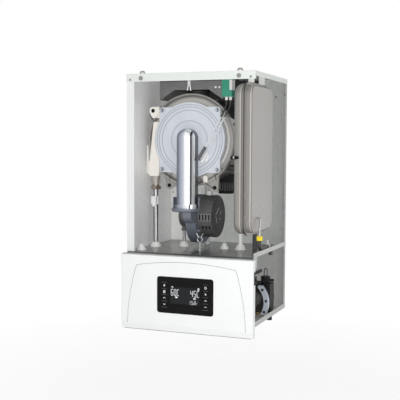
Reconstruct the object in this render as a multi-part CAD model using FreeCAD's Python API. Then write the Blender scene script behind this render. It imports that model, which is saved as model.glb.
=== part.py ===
import FreeCAD, Part
import math
import os

# Wall-hung condensing boiler with its front cover and right-hand side panel taken off for service.
# Millimetres, +Z up. X runs left to right, the wall face is the plane Y = 0 and the front faces -Y.
# The origin is the bottom centre of the wall face.

# Clearances
HOLE_GAP = 0.5
SEAT_GAP = 0.3
RUNNING_GAP = 0.05

# Angle between a part's length and its width
QUARTER_TURN = 90.0

# Casing
CASE_WIDTH = 400.0
CASE_DEPTH = 336.0
CASE_HEIGHT = 730.0
SHEET = 1.2
CASE_EDGE = 2.0
TOP_LIP = 24.0
TOP_RIM = 15.0
LIP_RETURN = 10.0
BOTTOM_RIM = 16.0
SIDE_FLANGE = 25.0
FLANGE_RETURN = 8.0
BACK_FLANGE = 16.0
HANG_SPACING = 250.0
HANG_DROP = 55.0
HANG_RADIUS = 5.5
VENT_HOLE_RADIUS = 3.0
ACCESS_PLATE_WIDTH = 48.0
ACCESS_PLATE_HEIGHT = 163.0
ACCESS_PLATE_X = -172.0
ACCESS_PLATE_Z = 289.0
SHELF_HEIGHT = 203.0
SHELF_FOLD = 8.0
SHELF_RIM = 12.0
SHELF_RIM_DROP = 1.2
POST_LEG = 18.0
POST_GUSSET = 38.0
POST_GUSSET_HEIGHT = 54.0
WALL_STRIP_WIDTH = 11.0
WALL_STRIP_DEPTH = 4.0
WALL_STRIP_HEIGHT = 88.0
WALL_STRIP_Y = -193.0
WALL_STRIP_Z = 432.0
STRIP_HOLE_RADIUS = 2.2
COVER_BOLT_SIDE = 48.0
COVER_BOLT_RADIUS = 8.5
COVER_BOLT_HEIGHT = 8.0
COVER_BOLT_FLATS = 12.0
COVER_BOLT_INSET = 11.0
LIP_SCREW_RADIUS = 6.5
LIP_SCREW_HEAD = 2.2
LIP_SCREW_DROP = 14.0
CORNER_SCREW_SIDE = 13.0
CORNER_SCREW_RADIUS = 3.2
CORNER_SCREW_DROP = 18.0

# Wire spring clips that catch the front cover
CLIP_WIRE = 1.3
TOP_CLIP_DROP = 27.0
TOP_CLIP_SPREAD = 5.0
TOP_CLIP_BULB = 2.6
SHELF_CLIP_X = -5.0
SHELF_CLIP_Y = -230.0
SHELF_CLIP_RING = 8.0
SHELF_CLIP_STEM = 24.0
SHELF_CLIP_TANG = 14.0
CLIP_TANG_LEAN = 30.0

# Control panel
FASCIA_OVERHANG = 6.0
FASCIA_BOTTOM = -26.0
FASCIA_TOP_DROP = 6.0
FASCIA_DEPTH = 22.0
FASCIA_GAP = 2.0
FASCIA_WALL = 3.0
FASCIA_EDGE = 4.5
CHIN_HEIGHT = 19.0
CHIN_SLOPE = 5.0
SEAL_HEIGHT = 2.6
SEAL_INSET = 2.0
ARCH_FOOT_INSET = 21.0
ARCH_WAIST_INSET = 29.5
ARCH_SHOULDER_INSET = 51.0
ARCH_SHOULDER_DROP = 30.0
ARCH_CROWN_DROP = 16.0
ARCH_GROOVE = 1.4
ARCH_GROOVE_DEPTH = 0.9
BEZEL_WIDTH = 176.0
BEZEL_HEIGHT = 107.0
BEZEL_DROP = 113.0
BEZEL_CORNER = 8.0
BEZEL_PROUD = 0.8
BEZEL_POCKET = 1.6
BEZEL_LEDGE = 4.0
SCREEN_SIDE = 39.0
SCREEN_HEIGHT = 56.0
SCREEN_CORNER = 2.0
SCREEN_RECESS = 0.3
KEY_WIDTH = 18.0
KEY_HEIGHT = 13.0
KEY_CORNER = 2.5
KEY_INSET = 23.5
KEY_PITCH = 18.4
KEY_ROWS = 4
KEY_PROUD = 0.5
KEY_TRAVEL = 0.8
KEY_FLANGE = 1.0
KEY_STEM_RADIUS = 3.0
BOARD_STANDOFF = 5.5
BOARD_THICK = 1.6
BOARD_MARGIN = 5.0
STANDOFF_RADIUS = 2.2
BOX_WIDTH = 260.0
BOX_BOTTOM = 22.0
BOX_TOP_DROP = 33.0
BOX_DEPTH = 38.0
BOX_WALL = 2.5
BOX_FLANGE = 10.0
BOX_CORNER = 6.0
BOX_STANDOFF = 8.0
BOX_BOSS_RADIUS = 4.0
MAIN_BOARD_LIFT = 6.0
RELAY_COUNT = 5
RELAY_PITCH = 31.0
RELAY_WIDTH = 21.0
RELAY_HEIGHT = 19.0
RELAY_RISE = 12.5
RELAY_INSET = 7.0
CORE_WIDTH = 46.0
CORE_HEIGHT = 38.0
CORE_RISE = 16.5
CORE_INSET = 31.0
HINGE_INSET = 14.0
HINGE_RISE = 13.0
HINGE_PIN_RADIUS = 3.0
HINGE_BOSS_RADIUS = 6.0
HINGE_BOSS_LENGTH = 4.0
HINGE_EAR = 2.4
HINGE_EAR_RADIUS = 6.0
HINGE_ARM_HEIGHT = 22.0
LATCH_TOP_DROP = 33.0
LATCH_HEIGHT = 38.0
LATCH_DEPTH = 12.0
LATCH_THICK = 2.4
LATCH_ARM = 9.0
LATCH_LONG = 62.0
LATCH_SHORT = 20.0

# Heat exchanger and burner
DRUM_X = -41.5
DRUM_Z = 536.5
DRUM_RADIUS = 131.0
DRUM_WALL = 1.6
DRUM_BACK = -22.0
RING_RADIUS = 141.0
RING_LIP = 6.0
RING_FRONT = -214.0
RING_DEPTH = 16.0
RING_WEB = 6.0
RING_BORE = 84.0
SEAT_WIDTH = 14.0
EAR_RADIUS = 12.0
EAR_THICK = 8.0
EAR_HOLE = 4.2
EAR_HALF_ANGLE = 13.0
EAR_SIDE_ANGLE = 75.0
EAR_ANGLES = [144.6, 243.2, 298.6, 18.0]
EAR_REACH = [154.5, 156.0, 164.0, 150.0]
COIL_RADIUS = 112.0
COIL_WALL = 3.0
COIL_RIB = 6.0
COIL_TURNS = 9
DOOR_RADIUS = 113.5
DOOR_THICK = 14.0
DOOR_LUG = 89.5
DOOR_LUG_EDGE = 9.4
DOOR_LUG_CORNER = 9.0
DOOR_GROOVES = [58.0, 89.5, 99.5, 106.5]
GROOVE_WIDTH = 1.6
GROOVE_DEPTH = 1.2
DOOR_PORT = 20.0
DOOR_EDGE = 3.0
PAD_THICK = 18.0
PAD_CLEAR = 3.0
STUD_RADIUS = 3.0
STUD_PROUD = 5.0
NUT_FLATS = 11.0
NUT_HEIGHT = 6.0
BURNER_RADIUS = 36.0
BURNER_WALL = 1.5
BURNER_LENGTH = 122.0
BURNER_HOLE = 2.2
BURNER_ROWS = 5
BURNER_ROW_HOLES = 6
BURNER_ROW_PITCH = 15.25
MANIFOLD_LEFT = -172.0
MANIFOLD_RIGHT = -142.0
MANIFOLD_FRONT = -229.0
MANIFOLD_BACK = -178.0
MANIFOLD_BOTTOM = 425.0
MANIFOLD_TOP = 592.0
MANIFOLD_SHOULDER = 480.0
MANIFOLD_TAPER = 12.0
MANIFOLD_HEAD = 475.0
MANIFOLD_HALF = 14.5
MANIFOLD_CORNER = 7.0
NOZZLE_TOP_RADIUS = 14.5
NOZZLE_BOTTOM_RADIUS = 11.0
NOZZLE_LENGTH = 27.0
UNION_FLATS = 30.0
UNION_HEIGHT = 15.0
FLOW_PIPE_X = -166.5
FLOW_PIPE_Y = -197.5
FLOW_PIPE_RADIUS = 8.0
PIPE_WALL = 1.0
SENSOR_Z = 349.0
SENSOR_LENGTH = 26.0
RETURN_PIPE_X = 104.0
RETURN_PIPE_Y = -168.0
RETURN_PIPE_RADIUS = 6.5
RETURN_PIPE_TOP = 392.0
RETURN_HOSE_RADIUS = 9.0
RETURN_BEND = 30.0
CONDENSATE_Y = -70.0
CONDENSATE_RADIUS = 9.0

# Air and gas path
DUCT_WIDTH = 58.0
DUCT_DEPTH = 50.0
DUCT_EDGE = 26.0
DUCT_WALL = 2.5
DUCT_CROWN = 570.0
DUCT_SEAM = 23.0
DUCT_SEAM_WIDTH = 1.6
DUCT_SEAM_REACH = 12.0
DUCT_FOOT = 12.0
DUCT_FOOT_WIDEN = 5.0
DUCT_FOOT_CORNER = 22.0
ADAPTER_RADIUS = 43.0
ADAPTER_HEIGHT = 10.0
ADAPTER_EDGE = 6.0
COLLAR_RISE = 32.0
COLLAR_WALL = 3.0
NECK_REACH = 15.0
NECK_DROP = 36.0
NECK_ROUND = 26.0
FAN_X = -36.0
FAN_Y = -150.0
FAN_Z = 301.0
SCROLL_RADIUS = 75.5
SCROLL_WIDTH = 33.0
SCROLL_WALL = 3.0
SCROLL_RISE = 20.0
SCROLL_BACK_SET = 6.0
SCROLL_DROP = 8.0
SCROLL_LUG_RADIUS = 7.0
SCROLL_LUG = 5.0
SCROLL_LUG_SIDE = 5.5
SCROLL_LUG_AHEAD = 69.0
SCROLL_LUG_DROP = 37.0
MOTOR_RADIUS = 65.3
MOTOR_LENGTH = 45.0
MOTOR_WALL = 3.0
MOTOR_EDGE = 5.0
MOTOR_SLOTS = 16
MOTOR_SLOT_RADIUS = 2.6
MOTOR_SLOT_CIRCLE = 55.0
FAN_SHAFT_RADIUS = 4.0
FAN_BEARING_RADIUS = 11.0
FAN_BEARING_LENGTH = 10.0
IMPELLER_RADIUS = 52.0
IMPELLER_PLATE = 2.0
IMPELLER_BLADES = 12
IMPELLER_BLADE = 2.0
IMPELLER_HUB = 14.0
IMPELLER_CLEAR = 3.5
ROTOR_RADIUS = 30.0
ROTOR_LENGTH = 14.0
MIXER_FLANGE_RADIUS = 44.0
MIXER_FLANGE = 6.0
MIXER_RADIUS = 34.0
MIXER_THROAT = 17.0
MIXER_LENGTH = 42.5
MIXER_RIBS = 5
GAS_PIPE_X = -88.0
GAS_PIPE_Y = -154.0
GAS_PIPE_RADIUS = 5.0
GAS_BOSS_RADIUS = 7.0
GAS_BOSS_LENGTH = 14.0
GAS_FLANGE_RADIUS = 9.0
GAS_FLANGE = 4.0
ELECTRODE_X = 10.0
ELECTRODE_Z = 486.0
BOOT_X = -3.4
BOOT_Z = 478.8
BOOT_STANDOFFS = [13.0, 2.0]
LEAD_RADIUS = 2.2
LEAD_GAP = 10.4
LEAD_RISE = 18.0
LEAD_SHOULDERS = [(60.0, 592.0), (70.0, 590.0)]
LEAD_SHOULDER_Y = -245.0
LEAD_SHOULDER_BEND = 60.0
LEAD_TURN_BEND = 40.0
BOOT_RADIUS = 5.0
BOOT_LENGTHS = [43.0, 30.0]
BOOT_LEAN = 32.0
ELECTRODE_FLANGE = 26.0
ELECTRODE_THICK = 4.0
ELECTRODE_SCREW = 3.0
HOOD_LEFT = -145.0
HOOD_RIGHT = 61.5
HOOD_FRONT = -216.0
HOOD_BACK = -70.0
HOOD_BOTTOM = 658.0
HOOD_ARCH = 688.0
HOOD_ARCH_LEFT = -96.0
HOOD_ARCH_RIGHT = 15.0
HOOD_SLOPE_WALL = 1.9
FLUE_X = -46.0
FLUE_Y = -143.0
FLUE_RADIUS = 30.0
FLUE_WALL = 2.0
FLUE_FLANGE_RADIUS = 60.0
FLUE_FLANGE = 3.0
FLUE_LIP = 8.0
FLUE_NECK_RADIUS = 34.0
AIR_PORTS = 10
TRANSFORMER_WIDTH = 32.0
TRANSFORMER_DEPTH = 30.0
TRANSFORMER_BOTTOM = 664.0
TRANSFORMER_TOP = 717.0
TRANSFORMER_FRONT = -228.0
TERMINAL_RADIUS = 4.5
TERMINAL_LENGTH = 9.0
TERMINAL_INSET = 10.0
TERMINAL_PITCH = 13.0
TRANSFORMER_WAIST = 29.0

# Expansion vessel
VESSEL_RIGHT_INSET = 20.0
VESSEL_LEFT_DEPTH = 33.0
VESSEL_RIGHT_DEPTH = 18.0
VESSEL_FRONT = -308.0
VESSEL_BACK = -78.0
VESSEL_BOTTOM = 257.0
VESSEL_TOP = 703.0
VESSEL_CORNER = 40.0
VESSEL_ROUND = 20.0
VESSEL_RIGHT_ROUND = 4.5
VESSEL_WALL = 1.5
VESSEL_RIM = 5.0
VESSEL_RIM_THICK = 2.4
DIAPHRAGM_THICK = 1.6
VESSEL_RIGHT_STEP = 4.0
VESSEL_HANGER_WIDTH = 18.0
VESSEL_HANGER_THICK = 2.0
VESSEL_HANGER_INSET = 64.0
VALVE_Y = -267.0
VALVE_Z = 484.0
VALVE_RADIUS = 5.0
VALVE_LENGTH = 15.0
VALVE_STEM_RADIUS = 3.0
VALVE_NUT = 4.5
VALVE_CAP = 9.0
VESSEL_HOSE_Y = -155.0
VESSEL_HOSE_RADIUS = 7.0
VESSEL_HOSE_CLEAR = 3.0
SIDE_HOSE_INSET = 10.0
SIDE_HOSE_Z = 217.0
SIDE_HOSE_RADIUS = 6.0
SIDE_HOSE_FRONT = -252.0
SIDE_HOSE_BACK = -134.0
SIDE_HOSE_BEND = 13.0
CLAMP_INSET = 32.0
FERRULE_Z = 243.0
FERRULE_HEIGHT = 13.0
FERRULE_RADIUS = 8.0
FEED_TUBE_RADIUS = 3.2
FEED_TUBE_TOP = 308.0
FEED_TUBE_BEND = 5.0
FEED_TUBE_Y = -237.0
FEED_TUBE_LEAN = 1.5
FEED_TUBE_STRAIGHT = 2.0
CLAMP_WIRE = 1.2
CLAMP_LEAN = 0.3

# Grommets on the shelf: place, base radius, top radius and height
GROMMET_BASE = 17.0
GROMMET_TOP = 10.5
GROMMET_HEIGHT = 15.0
GROMMET_SKIRT = 2.0
BLIND_BASE = 14.0
BLIND_TOP = 6.0
BLIND_HEIGHT = 18.0
BLIND_GROMMETS = [(-172.0, -289.0), (52.0, -168.0)]

# Pump, water group and connections below the shelf
STUB_Y = -132.0
STUB_PITCH = 75.0
STUB_DROP = 22.0
HEATING_STUB_RADIUS = 13.2
WATER_STUB_RADIUS = 10.5
STUB_STEP = 1.5
STUB_WALL = 2.0
PUMP_Z = 56.0
VOLUTE_RADIUS = 45.0
VOLUTE_FRONT = -156.0
VOLUTE_BACK = -108.0
VOLUTE_WALL = 4.0
PUMP_PLATE_RADIUS = 44.0
PUMP_PLATE = 4.0
PUMP_FLANGE_RADIUS = 78.0
PUMP_FLANGE_WIDTH = 14.5
PUMP_FLANGE = 12.0
PUMP_FLANGE_SIDE = 33.0
PUMP_FLANGE_DROP = 12.0
PUMP_FLANGE_LEFT = 12.0
PUMP_FLANGE_LOW = 8.0
PUMP_FLANGE_HIGH = 96.0
PUMP_SCREW_RADIUS = 3.0
PUMP_SCREW_ANGLES = [-23.5, 5.0, 34.0]
PUMP_MOTOR_RADIUS = 26.0
PUMP_MOTOR_LENGTH = 72.0
PUMP_MOTOR_WALL = 3.0
PUMP_MOTOR_EDGE = 5.0
PUMP_SHAFT_RADIUS = 4.0
PUMP_WHEEL_RADIUS = 34.0
PUMP_WHEEL_BLADES = 7
PUMP_ROTOR_RADIUS = 20.0
PUMP_CLEAR = 3.0
TOWER_SIDE = 24.0
TOWER_RADIUS = 13.0
TOWER_TOP = 100.0
VENT_RADIUS = 14.7
VENT_HEIGHT = 21.0
VENT_LOOP = 9.3
VENT_LOOP_RISE = 22.0
VENT_ARM_RADIUS = 4.0
VENT_ARM_LENGTH = 23.0
VENT_ARM_SIDE = 12.0
VENT_ARM_RISE = 7.0
PUMP_WALL_LEFT = 15.0
PUMP_WALL_RIGHT = 44.5
PUMP_WALL_BOTTOM = 13.2
VENT_GRIP_HEIGHT = 15.0
VENT_GRIPS = 16
DRAIN_RADIUS = 8.0
DRAIN_SIDE = 40.0
DRAIN_Y = -142.0
DRAIN_DROP = 12.0
DRAIN_STEM = 3.5
DRAIN_GRIPS = 10
FLOW_BLOCK_LEFT = -190.0
FLOW_BLOCK_RIGHT = -130.0
FLOW_BLOCK_FRONT = -222.0
FLOW_BLOCK_BACK = -108.0
FLOW_BLOCK_BOTTOM = 34.0
FLOW_BLOCK_TOP = 104.0
BLOCK_EDGE = 8.0
DIVERTER_RADIUS = 24.0
DIVERTER_LENGTH = 46.0
DIVERTER_NECK_RADIUS = 14.0
GAS_VALVE_LEFT = -112.0
GAS_VALVE_RIGHT = -56.0
GAS_VALVE_FRONT = -206.0
GAS_VALVE_BACK = -116.0
GAS_VALVE_BOTTOM = 48.0
GAS_VALVE_TOP = 122.0
SOLENOID_RADIUS = 19.0
SOLENOID_LENGTH = 34.0
PLATES_LEFT = -15.0
PLATES_RIGHT = 112.0
PLATES_FRONT = -108.0
PLATES_BOTTOM = 58.0
PLATES_TOP = 138.0
PLATE_COUNT = 12
PLATE_PITCH = 4.0
PLATE_GROOVE = 1.6
PLATE_CORNER = 14.0
PRIMARY_Y = -32.0
PRIMARY_Z = 78.0
PRIMARY_RADIUS = 7.5
PRIMARY_BEND = 18.0
WATER_PORT_Z = 112.0
WATER_PIPE_RADIUS = 7.5
WATER_BEND = 14.0
TRAP_RADIUS = 26.0
TRAP_BOTTOM = 22.0
TRAP_TOP = 128.0
TRAP_CAP = 14.0
TRAP_CAP_RADIUS = 18.0
TRAP_OUTLET_RADIUS = 9.0

# Worked-out planes of the casing
LEFT = -CASE_WIDTH / 2
RIGHT = CASE_WIDTH / 2
FRONT = -CASE_DEPTH
INNER_LEFT = LEFT + 2 * SHEET
INNER_RIGHT = RIGHT - 2 * SHEET
ROOF = CASE_HEIGHT - SHEET
SHELF_UNDER = SHELF_HEIGHT - SHEET
COVER_BOLT_X = RIGHT - COVER_BOLT_SIDE
CORNER_SCREW_X = RIGHT - CORNER_SCREW_SIDE
SIDE_HOSE_X = RIGHT - SIDE_HOSE_INSET

# The pump stands on the outermost connection
PUMP_X = 2 * STUB_PITCH
TOWER_X = PUMP_X + TOWER_SIDE
DRAIN_X = PUMP_X + DRAIN_SIDE

# Worked-out planes of the control panel
FASCIA_BACK = FRONT - FASCIA_GAP
FASCIA_FACE = FASCIA_BACK - FASCIA_DEPTH
FASCIA_TOP = SHELF_HEIGHT - FASCIA_TOP_DROP
FASCIA_WIDTH = CASE_WIDTH + 2 * FASCIA_OVERHANG
ARCH_FOOT = FASCIA_WIDTH / 2 - ARCH_FOOT_INSET
ARCH_WAIST = FASCIA_WIDTH / 2 - ARCH_WAIST_INSET
ARCH_SHOULDER = FASCIA_WIDTH / 2 - ARCH_SHOULDER_INSET
ARCH_SHOULDER_Z = FASCIA_TOP - ARCH_SHOULDER_DROP
ARCH_CROWN_Z = FASCIA_TOP - ARCH_CROWN_DROP
BEZEL_Z = FASCIA_TOP - BEZEL_DROP
SCREEN_WIDTH = BEZEL_WIDTH - 2 * SCREEN_SIDE
KEY_X = BEZEL_WIDTH / 2 - KEY_INSET
BOX_TOP = FASCIA_TOP - BOX_TOP_DROP
LATCH_TOP = FASCIA_TOP - LATCH_TOP_DROP
LATCH_BOTTOM = LATCH_TOP - LATCH_HEIGHT
FASCIA_INSIDE = FASCIA_FACE + FASCIA_WALL
CREASE = FASCIA_BOTTOM + CHIN_HEIGHT
BEZEL_FACE = FASCIA_FACE - BEZEL_PROUD
BEZEL_REAR = FASCIA_FACE + BEZEL_POCKET
BOARD_FACE = BEZEL_REAR + BOARD_STANDOFF
BOX_FRONT = FASCIA_INSIDE + BOX_STANDOFF
BOX_REAR = BOX_FRONT + BOX_DEPTH
HINGE_Y = FASCIA_FACE + HINGE_INSET
HINGE_Z = FASCIA_BOTTOM + HINGE_RISE

# Worked-out planes of the burner, fan, vessel and water group
DOOR_BACK = RING_FRONT - SEAT_GAP
DOOR_FRONT = DOOR_BACK - DOOR_THICK
DUCT_BACK = DOOR_FRONT
DUCT_Y = DUCT_BACK - DUCT_DEPTH / 2
DOOR_SQUARE = DOOR_LUG + DOOR_LUG_EDGE
SCROLL_LEFT = FAN_X - SCROLL_WIDTH / 2
SCROLL_RIGHT = FAN_X + SCROLL_WIDTH / 2
SCROLL_Y = FAN_Y - SCROLL_BACK_SET
SCROLL_Z = FAN_Z - SCROLL_DROP
MOTOR_RIGHT = SCROLL_RIGHT + MOTOR_LENGTH
ADAPTER_BOTTOM = FAN_Z + SCROLL_RISE
ADAPTER_TOP = ADAPTER_BOTTOM + ADAPTER_HEIGHT
UNION_TOP = MANIFOLD_BOTTOM - NOZZLE_LENGTH
UNION_BOTTOM = UNION_TOP - UNION_HEIGHT
VESSEL_RIGHT = RIGHT - VESSEL_RIGHT_INSET
RIM_RIGHT = VESSEL_RIGHT - VESSEL_RIGHT_DEPTH
RIM_LEFT = RIM_RIGHT - 2 * VESSEL_RIM_THICK - DIAPHRAGM_THICK
VESSEL_LEFT = RIM_LEFT - VESSEL_LEFT_DEPTH
VESSEL_HOSE_X = RIM_LEFT - VESSEL_HOSE_RADIUS - VESSEL_HOSE_CLEAR
PLATES_BACK = PLATES_FRONT + PLATE_COUNT * PLATE_PITCH
PUMP_MOTOR_BACK = VOLUTE_FRONT - PUMP_PLATE
PUMP_MOTOR_FRONT = PUMP_MOTOR_BACK - PUMP_MOTOR_LENGTH
GRIP = 1.0


def vec(x, y, z):
    """A point or direction."""
    return FreeCAD.Vector(x, y, z)


def on_axis(axis, along, u, v):
    """Point at a distance along X, Y or Z, with the other two coordinates in order."""
    if axis == "X":
        return vec(along, u, v)
    if axis == "Y":
        return vec(u, along, v)
    return vec(u, v, along)


def direction(axis):
    """Unit vector of an axis letter."""
    return on_axis(axis, 1.0, 0.0, 0.0)


def leaning(angle):
    """Upward direction turned by degrees towards +X."""
    turn = math.radians(angle)
    return vec(math.sin(turn), 0, math.cos(turn))


def block(x, y, z):
    """Box from three (low, high) pairs."""
    return Part.makeBox(x[1] - x[0], y[1] - y[0], z[1] - z[0], vec(x[0], y[0], z[0]))


def rod(axis, centre, radius, low, high):
    """Round bar along an axis."""
    return Part.makeCylinder(radius, high - low, on_axis(axis, low, *centre), direction(axis))


def sleeve(axis, centre, outer, inner, low, high):
    """Round tube along an axis."""
    bore = rod(axis, centre, inner, low - GRIP, high + GRIP)
    return rod(axis, centre, outer, low, high).cut(bore)


def prism(axis, edges, low, high):
    """Solid pushed along an axis from a closed run of edges drawn at distance zero."""
    face = Part.Face(Part.Wire(edges))
    face.translate(direction(axis) * low)
    return face.extrude(direction(axis) * (high - low))


def lines(axis, corners):
    """Closed run of straight edges through (u, v) corners."""
    points = [on_axis(axis, 0.0, *corner) for corner in corners]
    following = points[1:] + points[:1]
    return [Part.LineSegment(a, b).toShape() for a, b in zip(points, following)]


def outline(axis, corners, low, high):
    """Solid pushed from straight-sided (u, v) corners."""
    return prism(axis, lines(axis, corners), low, high)


def soft_outline(axis, corners, radius, low, high):
    """Solid pushed from (u, v) corners, with its edges along the axis rounded."""
    solid = outline(axis, corners, low, high)
    along = direction(axis)
    upright = [edge for edge in solid.Edges if abs(edge.tangentAt(edge.FirstParameter).dot(along)) > 0.9]
    return solid.makeFillet(radius, upright)


def tablet(axis, u, v, radius, low, high):
    """Box whose four edges along the axis are rounded."""
    corners = [(u[0], v[0]), (u[1], v[0]), (u[1], v[1]), (u[0], v[1])]
    return soft_outline(axis, corners, radius, low, high)


def turned(axis, centre, profile):
    """Solid of revolution from (along, radius) corners."""
    corners = [on_axis(axis, along, centre[0] + radius, centre[1]) for along, radius in profile]
    face = Part.Face(Part.makePolygon(corners + corners[:1]))
    return face.revolve(on_axis(axis, 0.0, *centre), direction(axis), 360.0)


def hexagon(axis, centre, flats, low, high):
    """Six-sided bar along an axis."""
    reach = flats / math.sqrt(3.0)
    angles = [math.radians(60.0 * step) for step in range(6)]
    corners = [(centre[0] + reach * math.cos(a), centre[1] + reach * math.sin(a)) for a in angles]
    return outline(axis, corners, low, high)


def round_edges(solid, radius, wanted):
    """Fillet the edges whose middle point passes a test."""
    chosen = [edge for edge in solid.Edges if wanted(edge.CenterOfMass)]
    return solid.makeFillet(radius, chosen)


def bent_path(points, bends):
    """Wire of straight runs joined by tangent arcs, with one radius for each inner point."""
    edges = []
    start = points[0]
    for index in range(1, len(points) - 1):
        corner = points[index]
        way_in = (corner - points[index - 1]).normalize()
        way_out = (points[index + 1] - corner).normalize()
        half_turn = way_in.getAngle(way_out) / 2
        bend = bends[index - 1]
        reach = bend * math.tan(half_turn)
        inward = (way_out - way_in).normalize()
        middle = corner + inward * (bend / math.cos(half_turn) - bend)
        edges.append(Part.LineSegment(start, corner - way_in * reach).toShape())
        edges.append(Part.Arc(corner - way_in * reach, middle, corner + way_out * reach).toShape())
        start = corner + way_out * reach
    edges.append(Part.LineSegment(start, points[-1]).toShape())
    return Part.Wire(edges)


def swept(path, radius):
    """Round bar along a wire of runs and arcs."""
    first = path.OrderedEdges[0]
    heading = first.tangentAt(first.FirstParameter)
    circle = Part.Wire(Part.Circle(first.valueAt(first.FirstParameter), heading, radius).toShape())
    return path.makePipeShell([circle], True, False)


def bent_rod(points, radius, bend):
    """Bar through hand-placed points with one bend radius."""
    corners = [vec(*point) for point in points]
    return swept(bent_path(corners, [bend] * (len(corners) - 2)), radius)


def bent_tube(points, outer, wall, bend):
    """Hollow pipe through hand-placed points with one bend radius."""
    return bent_rod(points, outer, bend).cut(bent_rod(points, outer - wall, bend))


def joined(solids):
    """One solid from pieces that touch."""
    return solids[0].fuse(solids[1:]).removeSplitter()


def group(solids):
    """Separate solids that share a node."""
    return Part.makeCompound(solids)


def around(centre, radius, count, first=0.0):
    """Evenly spaced (u, v) places on a circle."""
    turns = [math.radians(first + 360.0 * step / count) for step in range(count)]
    return [(centre[0] + radius * math.cos(a), centre[1] + radius * math.sin(a)) for a in turns]


# Casing

def stub_places():
    """X of each connection under the casing, with its radius."""
    radii = [HEATING_STUB_RADIUS, HEATING_STUB_RADIUS, WATER_STUB_RADIUS, WATER_STUB_RADIUS,
             HEATING_STUB_RADIUS]
    return [(STUB_PITCH * (index - 2), radius) for index, radius in enumerate(radii)]


def shelf_pipes():
    """Places and radii of the pipes that pass through the shelf."""
    return [(FLOW_PIPE_X, FLOW_PIPE_Y, FLOW_PIPE_RADIUS),
            (GAS_PIPE_X, GAS_PIPE_Y, GAS_PIPE_RADIUS),
            (RETURN_PIPE_X, RETURN_PIPE_Y, RETURN_PIPE_RADIUS)]


def back_panel():
    """Wall plate with hanging holes and a folded right edge."""
    sheet = block((INNER_LEFT, RIGHT - SHEET), (-SHEET, 0), (0, ROOF))
    fold = block((INNER_RIGHT, RIGHT - SHEET), (-BACK_FLANGE, 0), (SHEET, ROOF))
    panel = joined([sheet, fold])
    holes = [rod("Y", (side * HANG_SPACING / 2, CASE_HEIGHT - HANG_DROP), HANG_RADIUS, -SHEET - GRIP, GRIP)
             for side in (-1, 1)]
    for height in (SHELF_HEIGHT + HANG_DROP, DRUM_Z, CASE_HEIGHT - 2 * HANG_DROP):
        holes.append(rod("Y", (RIGHT - BACK_FLANGE, height), VENT_HOLE_RADIUS, -SHEET - GRIP, GRIP))
    return panel.cut(holes)


def access_plate():
    """White cover plate screwed to the wall plate."""
    across = (ACCESS_PLATE_X - ACCESS_PLATE_WIDTH / 2, ACCESS_PLATE_X + ACCESS_PLATE_WIDTH / 2)
    upright = (ACCESS_PLATE_Z - ACCESS_PLATE_HEIGHT / 2, ACCESS_PLATE_Z + ACCESS_PLATE_HEIGHT / 2)
    plate = tablet("Y", across, upright, CASE_EDGE, -2 * SHEET, -SHEET)
    inset = 2 * VENT_HOLE_RADIUS
    holes = [rod("Y", (x, z), VENT_HOLE_RADIUS, -2 * SHEET - GRIP, -SHEET + GRIP)
             for x in (across[0] + inset, across[1] - inset)
             for z in (upright[0] + inset, upright[1] - inset)]
    return plate.cut(holes)


def left_side_panel():
    """Side sheet with a front flange above the shelf."""
    sheet = block((LEFT + SHEET, INNER_LEFT), (FRONT + SHEET, 0), (SHEET, ROOF))
    flange = block((LEFT + SHEET, LEFT + SIDE_FLANGE), (FRONT + SHEET, FRONT + 2 * SHEET),
                   (SHELF_HEIGHT, ROOF))
    fold = block((LEFT + SIDE_FLANGE - SHEET, LEFT + SIDE_FLANGE),
                 (FRONT + SHEET, FRONT + SHEET + FLANGE_RETURN), (SHELF_HEIGHT, ROOF))
    return joined([sheet, flange, fold])


def top_frame():
    """Roof tray with a deep front lip and shallow side rims."""
    tray = block((LEFT, RIGHT), (FRONT, 0), (CASE_HEIGHT - TOP_LIP, CASE_HEIGHT))
    tray = round_edges(tray, CASE_EDGE, lambda p: p.y < -GRIP and
                       (p.z > CASE_HEIGHT - GRIP or (p.y < FRONT + GRIP and abs(p.x) > RIGHT - GRIP)))
    hollow = block((LEFT + SHEET, RIGHT - SHEET), (FRONT + SHEET, GRIP),
                   (CASE_HEIGHT - TOP_LIP - GRIP, ROOF))
    trim = block((LEFT - GRIP, RIGHT + GRIP), (FRONT + LIP_RETURN, GRIP),
                 (CASE_HEIGHT - TOP_LIP - GRIP, CASE_HEIGHT - TOP_RIM))
    flue = rod("Z", (FLUE_X, FLUE_Y), FLUE_FLANGE_RADIUS - FLUE_LIP, ROOF - GRIP, CASE_HEIGHT + GRIP)
    return tray.cut([hollow, trim, flue])


def bottom_frame():
    """Floor tray with holes for the connections."""
    tray = block((LEFT, RIGHT), (FRONT, -SHEET), (0, BOTTOM_RIM))
    tray = round_edges(tray, CASE_EDGE, lambda p: p.y < -GRIP - SHEET and
                       (p.z < GRIP or (p.y < FRONT + GRIP and abs(p.x) > RIGHT - GRIP)))
    hollow = block((LEFT + SHEET, RIGHT - SHEET), (FRONT + SHEET, GRIP), (SHEET, BOTTOM_RIM + GRIP))
    drops = [(x, STUB_Y, radius) for x, radius in stub_places()]
    drops.append((DRUM_X, CONDENSATE_Y, TRAP_OUTLET_RADIUS))
    holes = [rod("Z", (x, y), radius - STUB_STEP + HOLE_GAP, -GRIP, SHEET + GRIP) for x, y, radius in drops]
    holes.append(rod("Z", (DRAIN_X, DRAIN_Y), DRAIN_STEM + HOLE_GAP, -GRIP, SHEET + GRIP))
    return tray.cut([hollow] + holes)


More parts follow.
